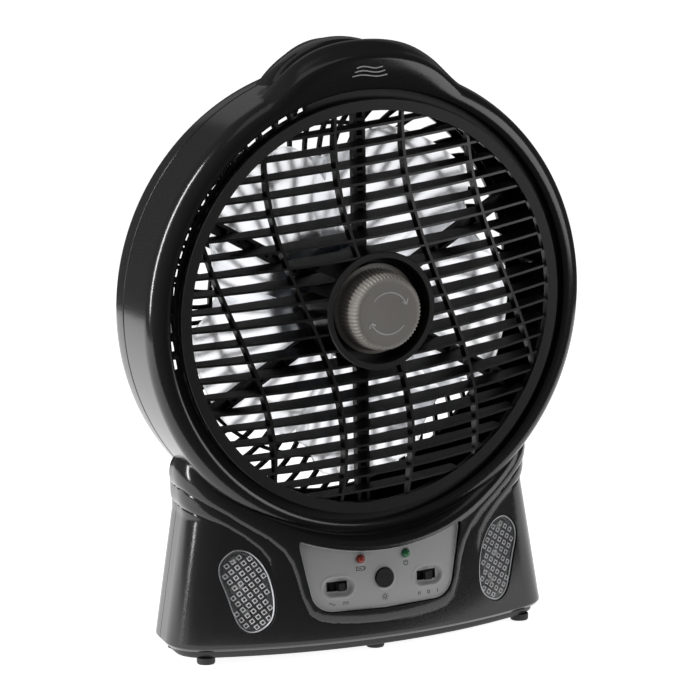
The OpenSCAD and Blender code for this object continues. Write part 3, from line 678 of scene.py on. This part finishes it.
def back_plan(i, height):
    """Column i of the right half of the rear cover's base, from the middle of the back to the seam."""
    corner = side_x(BACK_D, height)
    start = (corner - BACK_CORNER, BACK_D)
    if i <= BACK_STEPS:
        x = start[0] * i / BACK_STEPS
        return x, BACK_D, BACK_RUN - x
    end = (side_x(BACK_D - BACK_CORNER, height), BACK_D - BACK_CORNER)
    if i <= BACK_STEPS + CORNER_STEPS:
        t = (i - BACK_STEPS) / CORNER_STEPS
        x, depth = bend(start, (corner, BACK_D), end, t)
        return x, depth, BACK_CORNER_RUN - (BACK_CORNER_RUN - BACK_SIDE_RUN) * t
    t = (i - BACK_STEPS - CORNER_STEPS) / SIDE_STEPS
    depth = end[1] + (SEAM_D + SEAM_GAP - end[1]) * t
    return side_x(depth, height), depth, BACK_SIDE_RUN - t


def back_column(i):
    turned = smooth_step((i - BACK_STEPS) / CORNER_STEPS)
    x = FIRST_X
    for _ in range(TOP_TRIES):
        top = -math.sqrt((BACK_ROLL_R + BACK_ROLL_GAIN * turned) ** 2 - x ** 2)
        x = back_plan(i, top - FLOOR)[0]
    last = -math.sqrt((BACK_EDGE_R + BACK_EDGE_GAIN * turned) ** 2 - x ** 2)

    def spot(height, inset):
        """The back's columns run the other way, so that inward and the tiers change sign."""
        return wall_point(back_plan, i, height, -inset, BACK_TIER_SHARE * turned)

    return column(spot, top, last, BACK_ROLL_DEEP * turned)


def make_base_back():
    half = [back_column(i) for i in range(BACK_STEPS + CORNER_STEPS + SIDE_STEPS + 1)]
    piece = grid_object("base_back", mirrored(half), "housing", SHELL, flip=True, thick=WALL)
    low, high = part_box("power_inlet")
    middle = ((Vector(low) + Vector(high)) / 2 - RING) / MM
    radius = (high[0] - low[0]) / 2 / MM
    cut(piece, [prism("inlet_cut", round_loop(middle.x, middle.z, radius, 36), *INLET_OPENING)])
    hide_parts("rear_cover")


# ---- Bottom tray: a shallow dish that closes the base; rows are height above the floor and inset ----
TRAY_ROWS = [(3.9, 5.2), (4.0, 4.4), (4.8, 3.6), (7.0, 3.3), (11.4, 3.0)]


def make_tray():
    front = [front_plan(i, BASE_Z0)[:2] for i in range(FRONT_STEPS + CORNER_STEPS + SIDE_STEPS + 1)]
    back = [back_plan(i, BASE_Z0)[:2] for i in range(BACK_STEPS + CORNER_STEPS + SIDE_STEPS + 1)]
    right = front + back[::-1]
    loop = [Vector((x, -d)) for x, d in right + [(-x, d) for x, d in right[-2:0:-1]]]
    points, faces = [], []
    count = len(loop)
    for height, inset in TRAY_ROWS:
        points += [place(p.x, -p.y, height + FLOOR) for p in grown(loop, -inset)]
    for low in range(0, count * (len(TRAY_ROWS) - 1), count):
        high = low + count
        faces += [(low + k, low + (k + 1) % count, high + (k + 1) % count, high + k) for k in range(count)]
    faces.append(tuple(range(count - 1, -1, -1)))
    piece = mesh_object("tray_dish", points, faces, "housing", BLACK, sharp=40)
    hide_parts("bottom_tray")


# ---- Carry handle: a dome over the back half of the drum, hollow from behind for the fingers ----
# The section is depth and share of the dome's full rise above its seat
HANDLE_MID_Z = 97.4
HANDLE_R = 66.8
HANDLE_SECTION = [
    (33, 0.0), (35.5, 0.10), (37.5, 0.34), (39, 0.62), (40.3, 0.86), (41.6, 0.97), (43.5, 1.0),
    (52, 1.0), (62, 1.0), (67, 0.985), (70, 0.95), (71.6, 0.87), (72, 0.78),
]
HANDLE_WALL = 3.0
HANDLE_STEPS = 96
HANDLE_SEAT_R = 147.0
HANDLE_SINK = 1.5
HOLLOW_R = 146.4
HOLLOW_SHARE = 0.78
HOLLOW_STEP = 1.6
HOLLOW_DROP = 0.4
HOLLOW_DEPTHS = (71.6, 48.0)
HANDLE_UNDERSIDE = [(146.2, 45.5), (146.0, 33.2)]
# Behind ROUND_D the drum rounds off, and the dome grows out of that rounding over its first rise
ROUND_D = 61
ROUND_MID_R = 135.4
ROUND_R = 10
ROUND_RISE = 22


def back_rounding(depth):
    """Radius of the drum behind the seam, just under its surface."""
    return ROUND_MID_R + math.sqrt(max(ROUND_R ** 2 - max(depth - ROUND_D, 0) ** 2, 0))


def handle_ring(theta):
    """Closed section of the dome at an angle around the drum."""
    side, up = HANDLE_MID_Z * math.cos(theta), HANDLE_MID_Z * math.sin(theta)
    reach = up + math.sqrt(max(HANDLE_R ** 2 - side ** 2, 0))
    rise = max(reach - HANDLE_SEAT_R, 0.0)
    grown_by = smooth_step(rise / ROUND_RISE)

    def spot(radius, depth):
        if depth > ROUND_D:
            radius = back_rounding(depth) + (radius - back_rounding(depth)) * grown_by
        return around(radius, depth, theta)

    loop = [(HANDLE_SEAT_R + rise * share, depth) for depth, share in HANDLE_SECTION]
    under = HOLLOW_R + max(rise * HOLLOW_SHARE - HANDLE_WALL + HOLLOW_STEP, 0.0)
    loop += [(under - HOLLOW_DROP, depth) for depth in HOLLOW_DEPTHS] + HANDLE_UNDERSIDE
    return [spot(r, d) for r, d in closed(loop)]


def make_handle():
    meeting = (HANDLE_MID_Z ** 2 + HANDLE_SEAT_R ** 2 - HANDLE_R ** 2) / (2 * HANDLE_MID_Z * HANDLE_SEAT_R)
    half_angle = math.degrees(math.acos(meeting)) + HANDLE_SINK
    turns = [half_angle * (1 - 2 * k / HANDLE_STEPS) for k in range(HANDLE_STEPS + 1)]
    rings = [handle_ring(math.radians(90 + turn)) for turn in turns]
    piece = grid_object("handle_dome", rings, "housing", SHELL)
    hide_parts("carry_handle")


# ---- Lamps: a clear cover, a bright edge, a ledge behind it and square rings on its face ----
LENS_RISE = 0.25
COVER_SHARES = (0.02, 0.2, 0.4, 0.6, 0.78, 0.88)
# Growth of the outline and lift above the wall, row by row
COVER_EDGE = [(-1.0, LENS_RISE), (-0.85, 0.75), (-0.45, 0.85), (-0.1, 0.6), (0.0, 0.2), (0.0, -2.4)]
BRIGHT_EDGE = [(-1.0, 0.2), (-0.85, 0.9), (-0.35, 0.95), (-0.1, 0.6), (0.1, -0.6)]
LEDGE = [(0.9, -2.8), (-4.6, -2.8)]
LEDGE_THICK = 0.8
RING_PITCH = 4.6
RING_TURN = math.radians(35)
RING_REACH = 9
RING_MARGIN = 2.3
RING_OUTER = 1.45
RING_INNER = 0.85
# Half width and lift of a ring's outer foot, outer edge, inner edge and inner foot
RING_LEVELS = [(RING_OUTER, 0.1), (RING_OUTER - 0.15, 0.7), (RING_INNER + 0.1, 0.7), (RING_INNER, 0.1)]
HALF_TO_CORNER = 1.414


def wall_depth(x, z, step):
    """Depth of the base's front at a height about the axis."""
    return front_depth(x, z - FLOOR, step)


def lens_spot(side, x, z, lift):
    """A point at a lift above the wall; side is -1 for the left lamp."""
    return place(side * x, wall_depth(x, z, SKIRT_STEP) - lift, z)


def inside_by(loop, spot):
    """Distance of a spot inside a closed loop; negative when it lies outside."""
    inside = False
    best = 1e9
    for i, b in enumerate(loop):
        a = loop[i - 1]
        if (a.y > spot.y) != (b.y > spot.y) and spot.x < a.x + (b.x - a.x) * (spot.y - a.y) / (b.y - a.y):
            inside = not inside
        t = min(max((spot - a).dot(b - a) / max((b - a).length_squared, 1e-9), 0), 1)
        best = min(best, (spot - a - (b - a) * t).length)
    return best if inside else -best


def lens_rows(side, loop, edge):
    """Closed rows around a lamp, one for each growth and lift."""
    return [[lens_spot(side, *p, lift) for p in closed(grown(loop, grow))] for grow, lift in edge]


def make_lens(side, name):
    loop = lens_loop()
    middle = sum(loop, Vector((0, 0))) / len(loop)
    rows = []
    for share in COVER_SHARES:
        rows.append([lens_spot(side, *(middle + (p - middle) * share), LENS_RISE) for p in closed(loop)])
    rows += lens_rows(side, loop, COVER_EDGE)
    cover = grid_object(name + "_cover", rows, "housing", LENS_CLEAR, flip=side < 0, sharp=50)
    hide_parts("light_" + name)
    edge = lens_rows(side, loop, BRIGHT_EDGE)
    rim = grid_object(name + "_rim", edge, "housing", LENS_RIM, flip=side < 0, sharp=60)
    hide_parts("light_" + name)
    # The ledge takes the reflector material, whose dark grey is painted shade for the lamp's dim inside
    shelf = lens_rows(side, loop, LEDGE)
    ledge = grid_object(
        name + "_shelf", shelf, "housing", REFLECTOR_PAINTED_DARK, thick=LEDGE_THICK, flip=side > 0)
    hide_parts("light_" + name)
    make_rings(side, name, loop, middle)


def make_rings(side, name, loop, middle):
    """Square rings in slanting rows wherever they fit inside the outline."""
    points, faces = [], []
    corners = [Vector((math.cos(a), math.sin(a))) for a in (math.pi * k / 2 for k in range(4))]
    steps = range(-RING_REACH, RING_REACH + 1)
    cells = [Vector((i, j)) @ Matrix.Rotation(RING_TURN, 2) * RING_PITCH for i in steps for j in steps]
    for spot in (middle + cell for cell in cells):
        if inside_by(loop, spot) < RING_MARGIN:
            continue
        base = len(points)
        for half, lift in RING_LEVELS:
            for corner in corners:
                turned = corner @ Matrix.Rotation(RING_TURN + math.pi / 4, 2) * half * HALF_TO_CORNER
                points.append(lens_spot(side, *(spot + turned), lift))
        for low in (base, base + 4, base + 8):
            for k in range(4):
                quad = (low + k, low + (k + 1) % 4, low + 4 + (k + 1) % 4, low + 4 + k)
                faces.append(quad if side > 0 else quad[::-1])
    rings = mesh_object(name + "_rings", points, faces, "housing", LENS_RING, sharp=20)
    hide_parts("light_" + name)


# ---- Control panel: a bowed plate with dished switches, a button hole and two lamp holes ----
PANEL_STEP = 1.3
PANEL_THICK = 2.75
PANEL_GRID = 0.6
PANEL_GRID_X, PANEL_GRID_COLUMNS = -60, 201
PANEL_GRID_Z, PANEL_GRID_ROWS = -191.4, 89
SWITCH_X = 31.4
SWITCH_Z = -173.4
SWITCH_SLOT = (6.9, 3.1)  # half its length and half its height
BUTTON_Z = -170.6
BUTTON_HOLE_R = 6.4
LED_X = 15.8
LED_Z = -156.9
LED_HOLE_R = 2.6
# Dish around a switch: half its straight length, end radius, depth and width of its slope
DISH_HALF, DISH_R, DISH_DEPTH, DISH_SLOPE = 4.4, 6.3, 2.3, 2.4
DISH_REACH = 3
# Raised rims: height, place (from the dish's edge or from the middle of the hole) and width
DISH_RIM = (0.3, -0.5, 0.6)
BUTTON_RIM = (0.35, 7.2, 0.5)
LED_RIM = (0.3, 3.4, 0.4)
LED_SEAT_DEPTH, LED_SEAT_R, LED_SEAT_SLOPE = 0.35, 3.2, 0.8
PANEL_INSET = -0.3
FRAME_OUT, FRAME_IN = -0.1, -1.0


def raised(distance, height, middle, width):
    """A smooth bead of a height at its middle."""
    return height * math.exp(-((distance - middle) / width) ** 2)


def panel_lift(x, z):
    """How far the panel's face stands out of its plain surface: dished switches and raised rims."""
    lift = 0.0
    along = max(abs(abs(x) - SWITCH_X) - DISH_HALF, 0)
    edge = DISH_R - math.hypot(along, z - SWITCH_Z)
    if edge > -DISH_REACH:
        lift += raised(edge, *DISH_RIM) - DISH_DEPTH * smooth_step(edge / DISH_SLOPE)
    lift += raised(math.hypot(x, z - BUTTON_Z), *BUTTON_RIM)
    reach = math.hypot(abs(x) - LED_X, z - LED_Z)
    seat = LED_SEAT_DEPTH * smooth_step((LED_SEAT_R - reach) / LED_SEAT_SLOPE)
    return lift + raised(reach, *LED_RIM) - seat


def panel_spot(x, z, lift=0.0):
    """A point on the panel's face."""
    return place(x, wall_depth(x, z, PANEL_STEP) - panel_lift(x, z) - lift, z)


def round_loop(x, z, radius, steps=32):
    """A clockwise circle."""
    return [Vector((x + radius * math.cos(a), z + radius * math.sin(a)))
            for a in (-2 * math.pi * k / steps for k in range(steps))]


def make_panel():
    across = [PANEL_GRID_X + PANEL_GRID * i for i in range(PANEL_GRID_COLUMNS)]
    up = [PANEL_GRID_Z + PANEL_GRID * j for j in range(PANEL_GRID_ROWS)]
    wide, tall = len(across), len(up)
    points = [panel_spot(x, z) for z in up for x in across]
    points += [place(x, wall_depth(x, z, PANEL_STEP) + PANEL_THICK, z) for z in up for x in across]
    back = wide * tall
    faces = []
    for j in range(tall - 1):
        for i in range(wide - 1):
            a = j * wide + i
            faces.append((a, a + 1, a + wide + 1, a + wide))
            faces.append((back + a + wide, back + a + wide + 1, back + a + 1, back + a))
    edge = list(range(wide)) + [j * wide + wide - 1 for j in range(1, tall)]
    edge += [(tall - 1) * wide + i for i in range(wide - 2, -1, -1)]
    edge += [j * wide for j in range(tall - 2, 0, -1)]
    faces += [(a, edge[k - 1], back + edge[k - 1], back + a) for k, a in enumerate(edge)]
    piece = mesh_object("panel_face", points, faces, "housing", PANEL)
    cut(piece, [prism("panel_edge", panel_loop(PANEL_INSET), *PANEL_EDGE)], "INTERSECT", "MANIFOLD")
    holes = [prism("button_hole", round_loop(0, BUTTON_Z, BUTTON_HOLE_R), *THROUGH)]
    run, rise = SWITCH_SLOT
    for side in (-1, 1):
        holes.append(prism("led_hole", round_loop(side * LED_X, LED_Z, LED_HOLE_R), *THROUGH))
        slot = [Vector((side * SWITCH_X + dx, SWITCH_Z + dz))
                for dx, dz in ((-run, rise), (run, rise), (run, -rise), (-run, -rise))]
        holes.append(prism("switch_slot", slot, *THROUGH))
    cut(piece, holes, "DIFFERENCE", "MANIFOLD")
    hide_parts("control_panel")
    outer, inner = panel_loop(FRAME_OUT), panel_loop(FRAME_IN)
    shoulders = [(grown(outer, -0.25), 0.42), (grown(inner, 0.2), 0.42)]
    rows = []
    for loop, lift in [(outer, -1.5), (outer, 0.2)] + shoulders + [(inner, 0.0)]:
        rows.append([place(p.x, wall_depth(p.x, p.y, PANEL_STEP) - lift, p.y) for p in closed(loop)])
    rim = grid_object("panel_rim", rows, "housing", PANEL_RIM, sharp=60)
    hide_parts("control_panel")


# ---- Printed signs: plain picture signs, no lettering ----
PRINT_HEIGHT = 0.06
PRINT_GAP = 0.04
PANEL_STROKE = 0.42
LED_SIGN_DROP = 6.4
BUTTON_SIGN_DROP = 12.2
SWITCH_SIGN_DROP = 10.6
WAVE_Z, WAVE_PITCH = 146.0, 2.6
WAVE_LENGTH, WAVE_SHORTER = 24, 3
WAVE_STROKE = 0.75
WAVES, WAVE_HEIGHT, WAVE_STEPS = 3, 0.75, 28
CREST_MIDDLE_Z = 150
CREST_FACE_D = 0.12
CREST_BOW, CREST_BOW_RUN = 0.1, 4


def stroke(line, width):
    """Corner points and faces of a flat line of even width."""
    points, faces = [], []
    for i, p in enumerate(line):
        before, after = line[max(i - 1, 0)], line[min(i + 1, len(line) - 1)]
        along = (after - before).normalized()
        side = Vector((-along.y, along.x)) * width / 2
        points += [p + side, p - side]
        if i:
            faces.append((2 * i - 2, 2 * i - 1, 2 * i + 1, 2 * i))
    return points, faces


def arc_line(x, z, radius, start, end, steps=16):
    return [Vector((x + radius * math.cos(a), z + radius * math.sin(a)))
            for a in (math.radians(start + (end - start) * k / steps) for k in range(steps + 1))]


def wave_line(x, z, length, height, steps=16):
    return [Vector((x + length * (k / steps - 0.5), z + height * math.sin(2 * math.pi * k / steps)))
            for k in range(steps + 1)]


def straight(x0, z0, x1, z1, steps=4):
    return [Vector((x0 + (x1 - x0) * k / steps, z0 + (z1 - z0) * k / steps)) for k in range(steps + 1)]


def make_signs(name, lines, width, spot, body, material):
    """Raised strokes along the lines; spot turns a flat point into a place on the surface."""
    points, faces = [], []
    for line in lines:
        base = len(points)
        flat, quads = stroke(line, width)
        points += [spot(p.x, p.y) for p in flat]
        faces += [tuple(base + k for k in quad) for quad in quads]
    return mesh_object(name, points, faces, body, material, thick=-PRINT_HEIGHT, sharp=60)


def battery_sign(x, z):
    """Charging: an outlined cell with its knob and a level in it."""
    return [
        straight(x - 3, z + 1.1, x + 2.4, z + 1.1), straight(x - 3, z - 1.1, x + 2.4, z - 1.1),
        straight(x - 3, z - 1.3, x - 3, z + 1.3), straight(x + 2.4, z - 1.3, x + 2.4, z + 1.3),
        straight(x + 3.1, z - 0.6, x + 3.1, z + 0.6), straight(x - 2, z, x + 0.4, z),
    ]


def power_sign(x, z):
    """Power: an open ring with a bar."""
    return [arc_line(x, z, 1.5, 125, 415), straight(x, z + 0.3, x, z + 2.1)]


def sun_sign(z):
    """Lamps: a ring with eight rays."""
    rays = [(math.cos(a), math.sin(a)) for a in (math.pi * k / 4 for k in range(8))]
    lines = [straight(1.6 * x, z + 1.6 * up, 2.4 * x, z + 2.4 * up) for x, up in rays]
    return [arc_line(0, z, 1.0, 0, 360)] + lines


def source_sign(x, z):
    """Mains on the left, a wave; battery on the right, a bar over three dashes."""
    dashes = [straight(x + 2.5 + 1.5 * k, z - 0.6, x + 3.5 + 1.5 * k, z - 0.6) for k in range(3)]
    return [wave_line(x - 4.5, z, 4, 0.7), straight(x + 2.5, z + 0.6, x + 6.5, z + 0.6)] + dashes


def speed_sign(x, z):
    """Fast on the left, two bars; off in the middle, a ring; slow on the right, one bar."""
    bars = [straight(x + d, z - 1, x + d, z + 1) for d in (-7.4, -6.2)]
    return bars + [arc_line(x, z, 0.9, 0, 360), straight(x + 6.8, z - 1, x + 6.8, z + 1)]


def panel_signs():
    lines = battery_sign(-LED_X, LED_Z - LED_SIGN_DROP) + power_sign(LED_X, LED_Z - LED_SIGN_DROP)
    lines += sun_sign(BUTTON_Z - BUTTON_SIGN_DROP)
    lines += source_sign(-SWITCH_X, SWITCH_Z - SWITCH_SIGN_DROP)
    lines += speed_sign(SWITCH_X, SWITCH_Z - SWITCH_SIGN_DROP)
    piece = make_signs(
        "panel_signs", lines, PANEL_STROKE, lambda x, z: panel_spot(x, z, PRINT_GAP), "housing", PRINT_DARK)
    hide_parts("control_panel")


def crest_face(x, z):
    return place(x, CREST_FACE_D + CREST_BOW * abs(z - CREST_MIDDLE_Z) / CREST_BOW_RUN, z)


def crest_sign():
    """Three waves of moving air."""
    waves = [(WAVE_Z + WAVE_PITCH * k, WAVE_LENGTH - WAVE_SHORTER * k) for k in range(WAVES)]
    lines = [wave_line(0, z, length, WAVE_HEIGHT, WAVE_STEPS) for z, length in waves]
    make_signs("crest_sign", lines, WAVE_STROKE, crest_face, "housing", PRINT_PALE)


# ---- Knob: fluted grip whose flutes fade into a smooth face; rows are radius, depth and share of flute ----
FLUTES = 60
FLUTE_STEPS = 8
KNOB_SECTION = [
    (28.6, -2.0, 0.0), (28.6, -3.0, 0.0), (28.2, -3.3, 0.0), (26.3, -3.6, 0.0), (26.0, -4.0, 0.5),
    (25.2, -9.0, 1.0), (24.3, -14.5, 1.0), (23.8, -18.0, 1.0), (23.3, -19.8, 1.0), (22.5, -21.0, 0.8),
    (21.4, -21.7, 0.5), (20.3, -22.0, 0.2), (19.2, -22.0, 0.0), (12.0, -21.7, 0.0),
    (5.0, -21.5, 0.0), (0.05, -21.45, 0.0),
]
FLUTE_DEPTH = 0.85
FLUTE_SHARPNESS = 1.5
ARROW_R = 13.2
ARROW_STARTS = (20, 200)
ARROW_SWEEP = 122
ARROW_STEPS = 28
BARB_BACK, BARB_OUT = 3.4, 2.3
ARROW_STROKE = 0.8
KNOB_FACE_D = -21.83
KNOB_FACE_R = 19
KNOB_BOW = 0.1


def knob_radius(radius, share, step):
    """Radius at a step around the knob, with the flute cut in."""
    wave = 0.5 + 0.5 * math.cos(2 * math.pi * step / FLUTE_STEPS)
    return radius - FLUTE_DEPTH * share * wave ** FLUTE_SHARPNESS


def knob_face(x, z):
    return place(x, KNOB_FACE_D + KNOB_BOW * (1 - math.hypot(x, z) / KNOB_FACE_R), z)


def make_knob():
    steps = FLUTES * FLUTE_STEPS
    rings = []
    for radius, depth, share in KNOB_SECTION:
        rings.append([around(knob_radius(radius, share, k), depth, 2 * math.pi * k / steps)
                      for k in range(steps + 1)])
    piece = grid_object("knob_grip", rings, "knob", KNOB, sharp=60, flip=True)
    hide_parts("louvre_knob", "knob_cap")
    lines = []
    for start in ARROW_STARTS:
        lines.append(arc_line(0, 0, ARROW_R, start, start + ARROW_SWEEP, ARROW_STEPS))
        end = Vector((math.cos(math.radians(start)), math.sin(math.radians(start)))) * ARROW_R
        back = Vector((-end.y, end.x)).normalized() * BARB_BACK
        out = end.normalized() * BARB_OUT
        lines += [straight(*(end + back + out), *end), straight(*(end + back - out), *end)]
    sign = make_signs("turn_sign", lines, ARROW_STROKE, knob_face, "knob", PRINT_PALE)
    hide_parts("knob_cap")


# ---- Fan blades: thin smoky blades that twist from the leading to the trailing edge ----
BLADES = 5
BLADE_FIRST = 76
BLADE_ROOT_R = 18.5
BLADE_TIP_R = 112.0
BLADE_MID_D = 33.5
BLADE_THICK = 1.4
# In degrees: half width at the root, what it loses to the tip and gains half way, and the sweep of the tip
BLADE_HALF, BLADE_NARROWS, BLADE_BULGE = 34, 5, 10
BLADE_SWEEP = -16
# Half the rise across the blade at the root, what it loses to the tip, and the camber with its loss
BLADE_RISE, BLADE_FLATTENS = 6.6, 2.6
BLADE_CAMBER, CAMBER_LOSS = 1.6, 0.3
# Round tip corners: how much they cut off, and where they start across and along the blade
TIP_CUT, TIP_ACROSS, TIP_SPAN, TIP_ALONG = 0.34, 0.55, 0.2, 0.8
BLADE_ROWS, BLADE_COLUMNS = 28, 20
HUB_SECTION = [
    (2.2, 27.0), (16, 27.0), (18.6, 27.6), (20.4, 29.4), (21.0, 32), (21.0, 40.0), (19.2, 40.0), (19.0, 31),
    (8.5, 30), (8.0, 39.5), (2.2, 39.5),
]
HUB_TURNS = 72


def blade_spot(turn, along, across):
    """A point of a blade: along runs from 0 at the root to 1 at the tip, across from -1 to 1."""
    width = math.radians(BLADE_HALF - BLADE_NARROWS * along + BLADE_BULGE * math.sin(math.pi * along))
    angle = turn + math.radians(BLADE_SWEEP * along) + width * across
    cut_off = TIP_CUT * max(abs(across) - TIP_ACROSS, 0) ** 2 / TIP_SPAN
    corner = 1 - cut_off * smooth_step((along - TIP_ALONG) / (1 - TIP_ALONG))
    radius = BLADE_ROOT_R + (BLADE_TIP_R - BLADE_ROOT_R) * along * corner
    camber = BLADE_CAMBER * (across * across - 1) * (1 - CAMBER_LOSS * along)
    depth = BLADE_MID_D + (BLADE_RISE - BLADE_FLATTENS * along) * across + camber
    return around(radius, depth, angle)


def make_blades():
    points, faces = [], []
    wide = BLADE_COLUMNS + 1
    for b in range(BLADES):
        turn = math.radians(BLADE_FIRST + 360 * b / BLADES)
        for j in range(BLADE_ROWS + 1):
            low = len(points)
            points += [blade_spot(turn, j / BLADE_ROWS, 2 * i / BLADE_COLUMNS - 1) for i in range(wide)]
            if j < BLADE_ROWS:
                faces += [(k, k + 1, k + wide + 1, k + wide) for k in range(low, low + BLADE_COLUMNS)]
    piece = mesh_object("blade_set", points, faces, "rotor", BLADE, thick=BLADE_THICK)
    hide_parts("fan_blade")
    turns = [math.radians(k * 360 / HUB_TURNS) for k in range(HUB_TURNS)]
    rings = [[around(r, d, turn) for r, d in closed(HUB_SECTION)] for turn in turns]
    hub = grid_object("blade_hub", rings, "rotor", BLADE_HUB, wrap=True)
    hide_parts("fan_blade")


make_drum()
make_base_front()
make_flange()
make_rear_drum()
make_base_back()
make_handle()
make_tray()
make_lens(-1, "lens_left")
make_lens(1, "lens_right")
make_panel()
panel_signs()
crest_sign()
make_knob()
make_blades()


# ---- Studio ----
WORLD_SEEN = 1.05
WORLD_LIGHT = 0.07
# The floor ends close in front of the fan, so that its white is not mirrored in the dark base
FLOOR_SIDE, FLOOR_NEAR, FLOOR_FAR = 0.9, -0.12, 1.2
FLOOR_DROP = 0.0005
FLOOR_GLOW = 0.9


def soft_light(name, spot, size, power):
    """A rectangular light aimed at the louvre."""
    data = bpy.data.lights.new(name, "AREA")
    data.shape = "RECTANGLE"
    data.size, data.size_y = size
    data.energy = power
    light = bpy.data.objects.new(name, data)
    light.location = spot
    light.rotation_euler = (RING - spot).to_track_quat("-Z", "Y").to_euler()
    bpy.context.scene.collection.objects.link(light)


def make_world():
    """White to look at and to see the blades against, and dim as a light, so that the shell stays dark."""
    world = bpy.data.worlds.new("studio")
    bpy.context.scene.world = world
    world.use_nodes = True
    nodes, links = world.node_tree.nodes, world.node_tree.links
    back = nodes["Background"]
    back.inputs["Color"].default_value = (1, 1, 1, 1)
    path = nodes.new("ShaderNodeLightPath")
    bounces = nodes.new("ShaderNodeMath")
    bounces.operation = "ADD"
    links.new(path.outputs["Diffuse Depth"], bounces.inputs[0])
    links.new(path.outputs["Glossy Depth"], bounces.inputs[1])
    seen = nodes.new("ShaderNodeMath")
    seen.operation = "LESS_THAN"
    seen.inputs[1].default_value = 0.5
    links.new(bounces.outputs["Value"], seen.inputs[0])
    level = nodes.new("ShaderNodeMapRange")
    level.inputs["To Min"].default_value = WORLD_LIGHT
    level.inputs["To Max"].default_value = WORLD_SEEN
    links.new(seen.outputs["Value"], level.inputs["Value"])
    links.new(level.outputs["Result"], back.inputs["Strength"])


def from_view(turn, rise, distance):
    """A place around the fan: its turn to the right of the camera and its rise above the louvre."""
    azimuth, elevation = math.radians(AZIMUTH + turn), math.radians(rise)
    flat = distance * math.cos(elevation)
    up = distance * math.sin(elevation)
    return RING + Vector((flat * math.sin(azimuth), -flat * math.cos(azimuth), up))


def make_studio():
    mesh = bpy.data.meshes.new("floor")
    near = [(-FLOOR_SIDE, FLOOR_NEAR, 0), (FLOOR_SIDE, FLOOR_NEAR, 0)]
    far = [(FLOOR_SIDE, FLOOR_FAR, 0), (-FLOOR_SIDE, FLOOR_FAR, 0)]
    mesh.from_pydata(near + far, [], [(0, 1, 2, 3)])
    floor = bpy.data.objects.new("floor", mesh)
    floor.location.z = -FLOOR_DROP
    bpy.context.scene.collection.objects.link(floor)
    mesh.materials.append(grained(
        "pale_floor", (0.93, 0.93, 0.93), 0.9, (3, 0.0, 0.01, 0.02),
        Emission_Color=(1, 1, 1, 1), Emission_Strength=FLOOR_GLOW))
    make_world()
    soft_light("left_box", from_view(-72, 22, 1.5), (0.2, 1.5), 24)
    soft_light("right_card", from_view(76, 8, 1.7), (1.15, 0.95), 9)
    soft_light("top_box", from_view(10, 72, 1.7), (1.2, 0.8), 1.8)
    soft_light("back_wash", from_view(175, 35, 2.2), (2.4, 1.4), 2)
    bpy.context.scene.view_settings.view_transform = "Standard"


make_studio()
